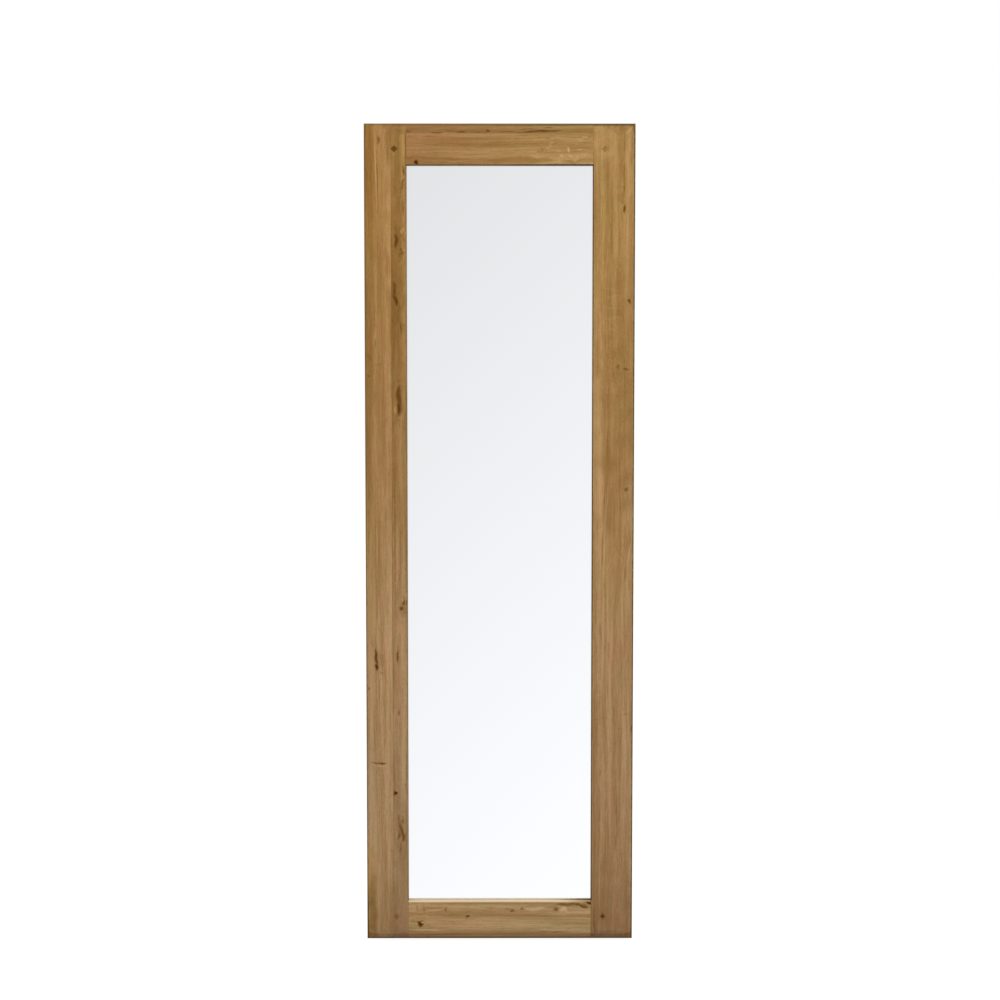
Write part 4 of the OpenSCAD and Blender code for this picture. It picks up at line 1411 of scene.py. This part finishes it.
class OAKMIRROR_OT_pins(bpy.types.Operator):
    """Drive the pins through the beads"""

    bl_idname = "oakmirror.pins"
    bl_label = "Pins"

    def execute(self, context):
        shank, head, point, domed = 0.9 * MM, 1.5 * MM, 2.5 * MM, 0.6 * MM
        middle = middle_of("bead_pins")
        places = []
        for low, high in islands("bead_pins"):
            size, centre = high - low, (low + high) / 2
            axis = 0 if size.x > size.z else 2
            direction = Vector((0.0, 0.0, 0.0))
            direction[axis] = -1.0 if centre[axis] < middle[axis] else 1.0
            start = centre - direction * (size[axis] / 2 - domed)
            places.append((start, direction, 0.0))
            run = size[axis] - domed
        pin = lathe([(0.0, -domed), (0.7 * MM, -domed), (1.2 * MM, -0.48 * MM), (head, -0.2 * MM),
                     (head, 0.0), (shank, 0.0), (shank, run - point), (0.0, run)], 20)
        material = metal_material("Pin steel", context.scene.mirror_fittings.pin_steel, 0.38)
        piece = set_out("bead_pins_steel", pin, places, material)
        shade(piece.data, 40)
        finish_piece(piece, "mirror", "bead_pins")
        return {"FINISHED"}


class OAKMIRROR_OT_straps(bpy.types.Operator):
    """Soften the two stamped straps with their rolled eyes"""

    bl_idname = "oakmirror.straps"
    bl_label = "Hanger straps"

    def execute(self, context):
        fittings = context.scene.mirror_fittings
        material = metal_material("Zinc plate, strap", fittings.zinc, 0.3)
        for side in SIDES:
            node = "hanger_strap_" + side
            piece = new_object("zinc_strap_" + side, merged_copy(node))
            soft = piece.modifiers.new("Stamped edges", "BEVEL")
            soft.width = fittings.softening
            soft.segments = 2
            soft.limit_method = "ANGLE"
            soft.angle_limit = math.radians(40)
            mesh = settle(piece)
            shade(mesh, 32)
            paint(mesh, material)
            finish_piece(piece, "mirror", node)
        return {"FINISHED"}


class OAKMIRROR_OT_rings(bpy.types.Operator):
    """Bend the two D-rings"""

    bl_idname = "oakmirror.rings"
    bl_label = "Hanger rings"

    def execute(self, context):
        material = metal_material("Zinc plate, ring", context.scene.mirror_fittings.zinc, 0.24)
        for side in SIDES:
            node = "hanger_ring_" + side
            low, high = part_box(node)
            wire = high.y - low.y
            centre = middle_of(node)
            piece = grow("zinc_ring_" + side, shared_group(bent_ring), {
                "Width": high.x - low.x - wire, "Drop": high.z - low.z - wire,
                "Bend": 3.5 * MM, "Wire": wire, "Hinge": (centre.x, centre.y, high.z - wire / 2),
                "Material": material})
            shade(piece.data, 60)
            finish_piece(piece, "ring_" + side, node)
        return {"FINISHED"}


def screw_mesh(length):
    """A pan-head screw along Z, its head below zero, with a rolled thread and a crossed recess."""
    crest, root, pitch = 2.0 * MM, 1.45 * MM, 1.4 * MM
    head, curve, tip = 3.8 * MM, 1.3 * MM, 5.0 * MM

    def thread(angle, height):
        if height < 1.2 * MM or height > length - 1.0 * MM:
            return 0.0
        turn = (height / pitch - angle / (2.0 * math.pi)) % 1.0
        share = min(1.0, (length - height) / tip)
        return (crest - root) * max(0.0, 1.0 - abs(turn - 0.5) / 0.28) * share

    profile = [(0.0, -SCREW_HEAD), (head * 0.35, -SCREW_HEAD + 0.01 * MM)]
    profile += quarter_turn(head - curve, -SCREW_HEAD + curve, curve, -90)
    profile += [(head, -0.1 * MM), (head - 0.1 * MM, 0.0), (root, 0.0)]
    height = 1.0 * MM
    while height < length - 0.3 * MM:
        profile.append((root * min(1.0, (length - height) / tip), height))
        height += 0.2 * MM
    profile.append((0.0, length))

    # The recess narrows as it goes in
    arm, half = 2.0 * MM, 0.45 * MM
    outline = [Matrix.Rotation(math.radians(90 * quarter), 2) @ Vector(corner)
               for quarter in range(4) for corner in ((arm, -half), (arm, half), (half, half))]
    rows = ((-SCREW_HEAD - 0.5 * MM, 1.08), (-SCREW_HEAD + 1.3 * MM, 0.8))
    cross = tube("cross", [[(p.x * share, p.y * share, z) for p in outline] for z, share in rows])
    screw = cut("screw", lathe(profile, 32, thread), cross, "DIFFERENCE")
    mesh = screw.data
    bpy.data.objects.remove(screw)
    return mesh


class OAKMIRROR_OT_screws(bpy.types.Operator):
    """Turn the screws into the straps"""

    bl_idname = "oakmirror.screws"
    bl_label = "Hanger screws"

    def execute(self, context):
        material = metal_material("Zinc plate, screw", context.scene.mirror_fittings.zinc, 0.28)
        for side, spins in (("left", (0.35, 1.1)), ("right", (0.8, 0.15))):
            node = "hanger_screws_" + side
            low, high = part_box(node)
            places = []
            for (first, last), spin in zip(islands(node), spins):
                centre = (first + last) / 2
                places.append(((centre.x, high.y - SCREW_HEAD, centre.z), (0.0, -1.0, 0.0), spin))
            pattern = screw_mesh(high.y - low.y - SCREW_HEAD)
            piece = set_out("zinc_screws_" + side, pattern, places, material)
            shade(piece.data, 35)
            finish_piece(piece, "mirror", node)
        return {"FINISHED"}


class OAKMIRROR_OT_pads(bpy.types.Operator):
    """Mould the four rubber wall pads"""

    bl_idname = "oakmirror.pads"
    bl_label = "Wall pads"

    def execute(self, context):
        rubber = dull_material("Rubber", context.scene.mirror_fittings.rubber, 0.55, 5 * MM,
                               0.05 * MM)
        for corner in CORNERS:
            node = "wall_pad_" + corner
            low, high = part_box(node)
            base, tall = (high.x - low.x) / 2, high.y - low.y
            top, curve = base - 1.5 * MM, 1.5 * MM
            profile = [(0.0, 0.0), (base - 0.3 * MM, 0.0), (base, 0.3 * MM)]
            profile += quarter_turn(top - curve, tall - curve, curve, 0)
            for share, dip in ((0.66, 0.0), (0.58, 0.25), (0.3, 0.3), (0.0, 0.3)):
                profile.append((top * share, tall - dip * MM))
            mesh = lathe(profile, 64)
            centre = middle_of(node)
            mesh.transform(Matrix.Translation((centre.x, low.y, centre.z))
                           @ Matrix.Rotation(math.radians(-90), 4, "X"))
            shade(mesh, 35)
            paint(mesh, rubber)
            finish_piece(new_object("rubber_pad_" + corner, mesh), "mirror", node)
        return {"FINISHED"}


def white_world(sky):
    """White to the eye, a soft gradient to polished surfaces, and plain even light to the rest."""
    world = bpy.data.worlds.new("Studio")
    bpy.context.scene.world = world
    world.use_nodes = True
    world.node_tree.nodes.clear()
    w = Wiring(world.node_tree)
    path = w.node("ShaderNodeLightPath").outputs
    x, _, z = w.split(w.node("ShaderNodeTexCoord").outputs["Generated"])
    slope = w.smaller(w.larger(w.sum(1.0, (0.34, x), (-0.375, z)), 0.75), 1.17)
    wall = w.tint((0.872, 0.877, 0.898), w.join(slope, slope, slope))
    polished = w.larger(path["Is Glossy Ray"], path["Is Transmission Ray"])
    seen = w.blend(polished, (sky, sky, sky), wall)
    seen = w.blend(path["Is Camera Ray"], seen, (1.0, 1.0, 1.0))
    background = w.node("ShaderNodeBackground", [seen, 1.0])
    w.node("ShaderNodeOutputWorld", {"Surface": background.outputs[0]})


def pale_floor(colour):
    """A wide floor at the mirror's foot that shows white to the camera and keeps a soft shadow."""
    material, w, shader = new_material("Pale floor", {
        "Base Color": colour, "Roughness": 0.9, "Specular IOR Level": 0.0})
    glow = w.node("ShaderNodeEmission", [(1.0, 1.0, 1.0), 0.86])
    matt = w.node("ShaderNodeBsdfDiffuse", [(0.3, 0.3, 0.3)])
    bright = w.node("ShaderNodeAddShader", [glow.outputs[0], matt.outputs[0]])
    path = w.node("ShaderNodeLightPath").outputs["Is Camera Ray"]
    shown = w.node("ShaderNodeMixShader", [path, shader.outputs[0], bright.outputs[0]])
    w.feed(material.node_tree.nodes["Material Output"].inputs["Surface"], shown.outputs[0])
    mesh = bpy.data.meshes.new("floor")
    mesh.from_pydata([(x * FLOOR_REACH, y * FLOOR_REACH, 0)
                      for x, y in ((-1, -1), (1, -1), (1, 1), (-1, 1))], [], [(0, 1, 2, 3)])
    paint(mesh, material)
    floor = new_object("floor", mesh)
    floor.visible_glossy = False


def soft_lamp(name, place, target, size, power):
    data = bpy.data.lights.new(name, "AREA")
    data.shape = "RECTANGLE"
    data.size, data.size_y = size
    data.energy = power
    lamp = new_object(name, data)
    lamp.location = place
    lamp.rotation_euler = (Vector(target) - Vector(place)).to_track_quat("-Z", "Y").to_euler()
    lamp.visible_glossy = False
    lamp.visible_camera = False


class OAKMIRROR_OT_studio(bpy.types.Operator):
    """Set the floor, the light and the camera"""

    bl_idname = "oakmirror.studio"
    bl_label = "Studio"

    def execute(self, context):
        studio = context.scene.mirror_studio
        white_world(studio.sky)
        pale_floor(studio.floor)
        soft_lamp("Key", LAMP_PLACE, LAMP_TARGET, LAMP_SIZE, studio.key)
        camera = bpy.data.cameras.new("Camera")
        camera.lens = studio.lens
        camera.sensor_width = 36.0
        camera.shift_y = CAMERA_SHIFT
        camera.clip_start, camera.clip_end = 0.1, 50.0
        holder = new_object("Camera", camera)
        holder.location = CAMERA_PLACE
        holder.rotation_euler = CAMERA_TURN
        context.scene.camera = holder
        context.scene.view_settings.view_transform = "Standard"
        return {"FINISHED"}


class OAKMIRROR_PT_panel(bpy.types.Panel):
    """Lists the pieces of the mirror and their settings"""

    bl_idname = "OAKMIRROR_PT_panel"
    bl_label = "Full-length mirror"
    bl_space_type = "VIEW_3D"
    bl_region_type = "UI"
    bl_category = "Oak Mirror"

    def draw(self, context):
        for operator in OPERATORS:
            self.layout.operator(operator.bl_idname)
        for name, kind in SETTINGS.items():
            box = self.layout.box()
            box.label(text=kind.__doc__)
            for setting in kind.__annotations__:
                box.prop(getattr(context.scene, name), setting)


SETTINGS = {"mirror_oak": OakSettings, "mirror_pane": PaneSettings,
            "mirror_fittings": FittingSettings, "mirror_studio": StudioSettings}
OPERATORS = (OAKMIRROR_OT_stiles, OAKMIRROR_OT_rails, OAKMIRROR_OT_pegs, OAKMIRROR_OT_pane,
             OAKMIRROR_OT_packing, OAKMIRROR_OT_beads, OAKMIRROR_OT_pins, OAKMIRROR_OT_straps,
             OAKMIRROR_OT_rings, OAKMIRROR_OT_screws, OAKMIRROR_OT_pads, OAKMIRROR_OT_studio)


def register():
    for kind in (*SETTINGS.values(), *OPERATORS, OAKMIRROR_PT_panel):
        bpy.utils.register_class(kind)
    for name, kind in SETTINGS.items():
        setattr(bpy.types.Scene, name, PointerProperty(type=kind))


def unregister():
    for name in SETTINGS:
        delattr(bpy.types.Scene, name)
    for kind in (OAKMIRROR_PT_panel, *OPERATORS, *SETTINGS.values()):
        bpy.utils.unregister_class(kind)


def main():
    register()
    bpy.ops.oakmirror.stiles()
    bpy.ops.oakmirror.rails()
    bpy.ops.oakmirror.pegs()
    bpy.ops.oakmirror.pane()
    bpy.ops.oakmirror.packing()
    bpy.ops.oakmirror.beads()
    bpy.ops.oakmirror.pins()
    bpy.ops.oakmirror.straps()
    bpy.ops.oakmirror.rings()
    bpy.ops.oakmirror.screws()
    bpy.ops.oakmirror.pads()
    bpy.ops.oakmirror.studio()


if __name__ == "__main__":
    main()
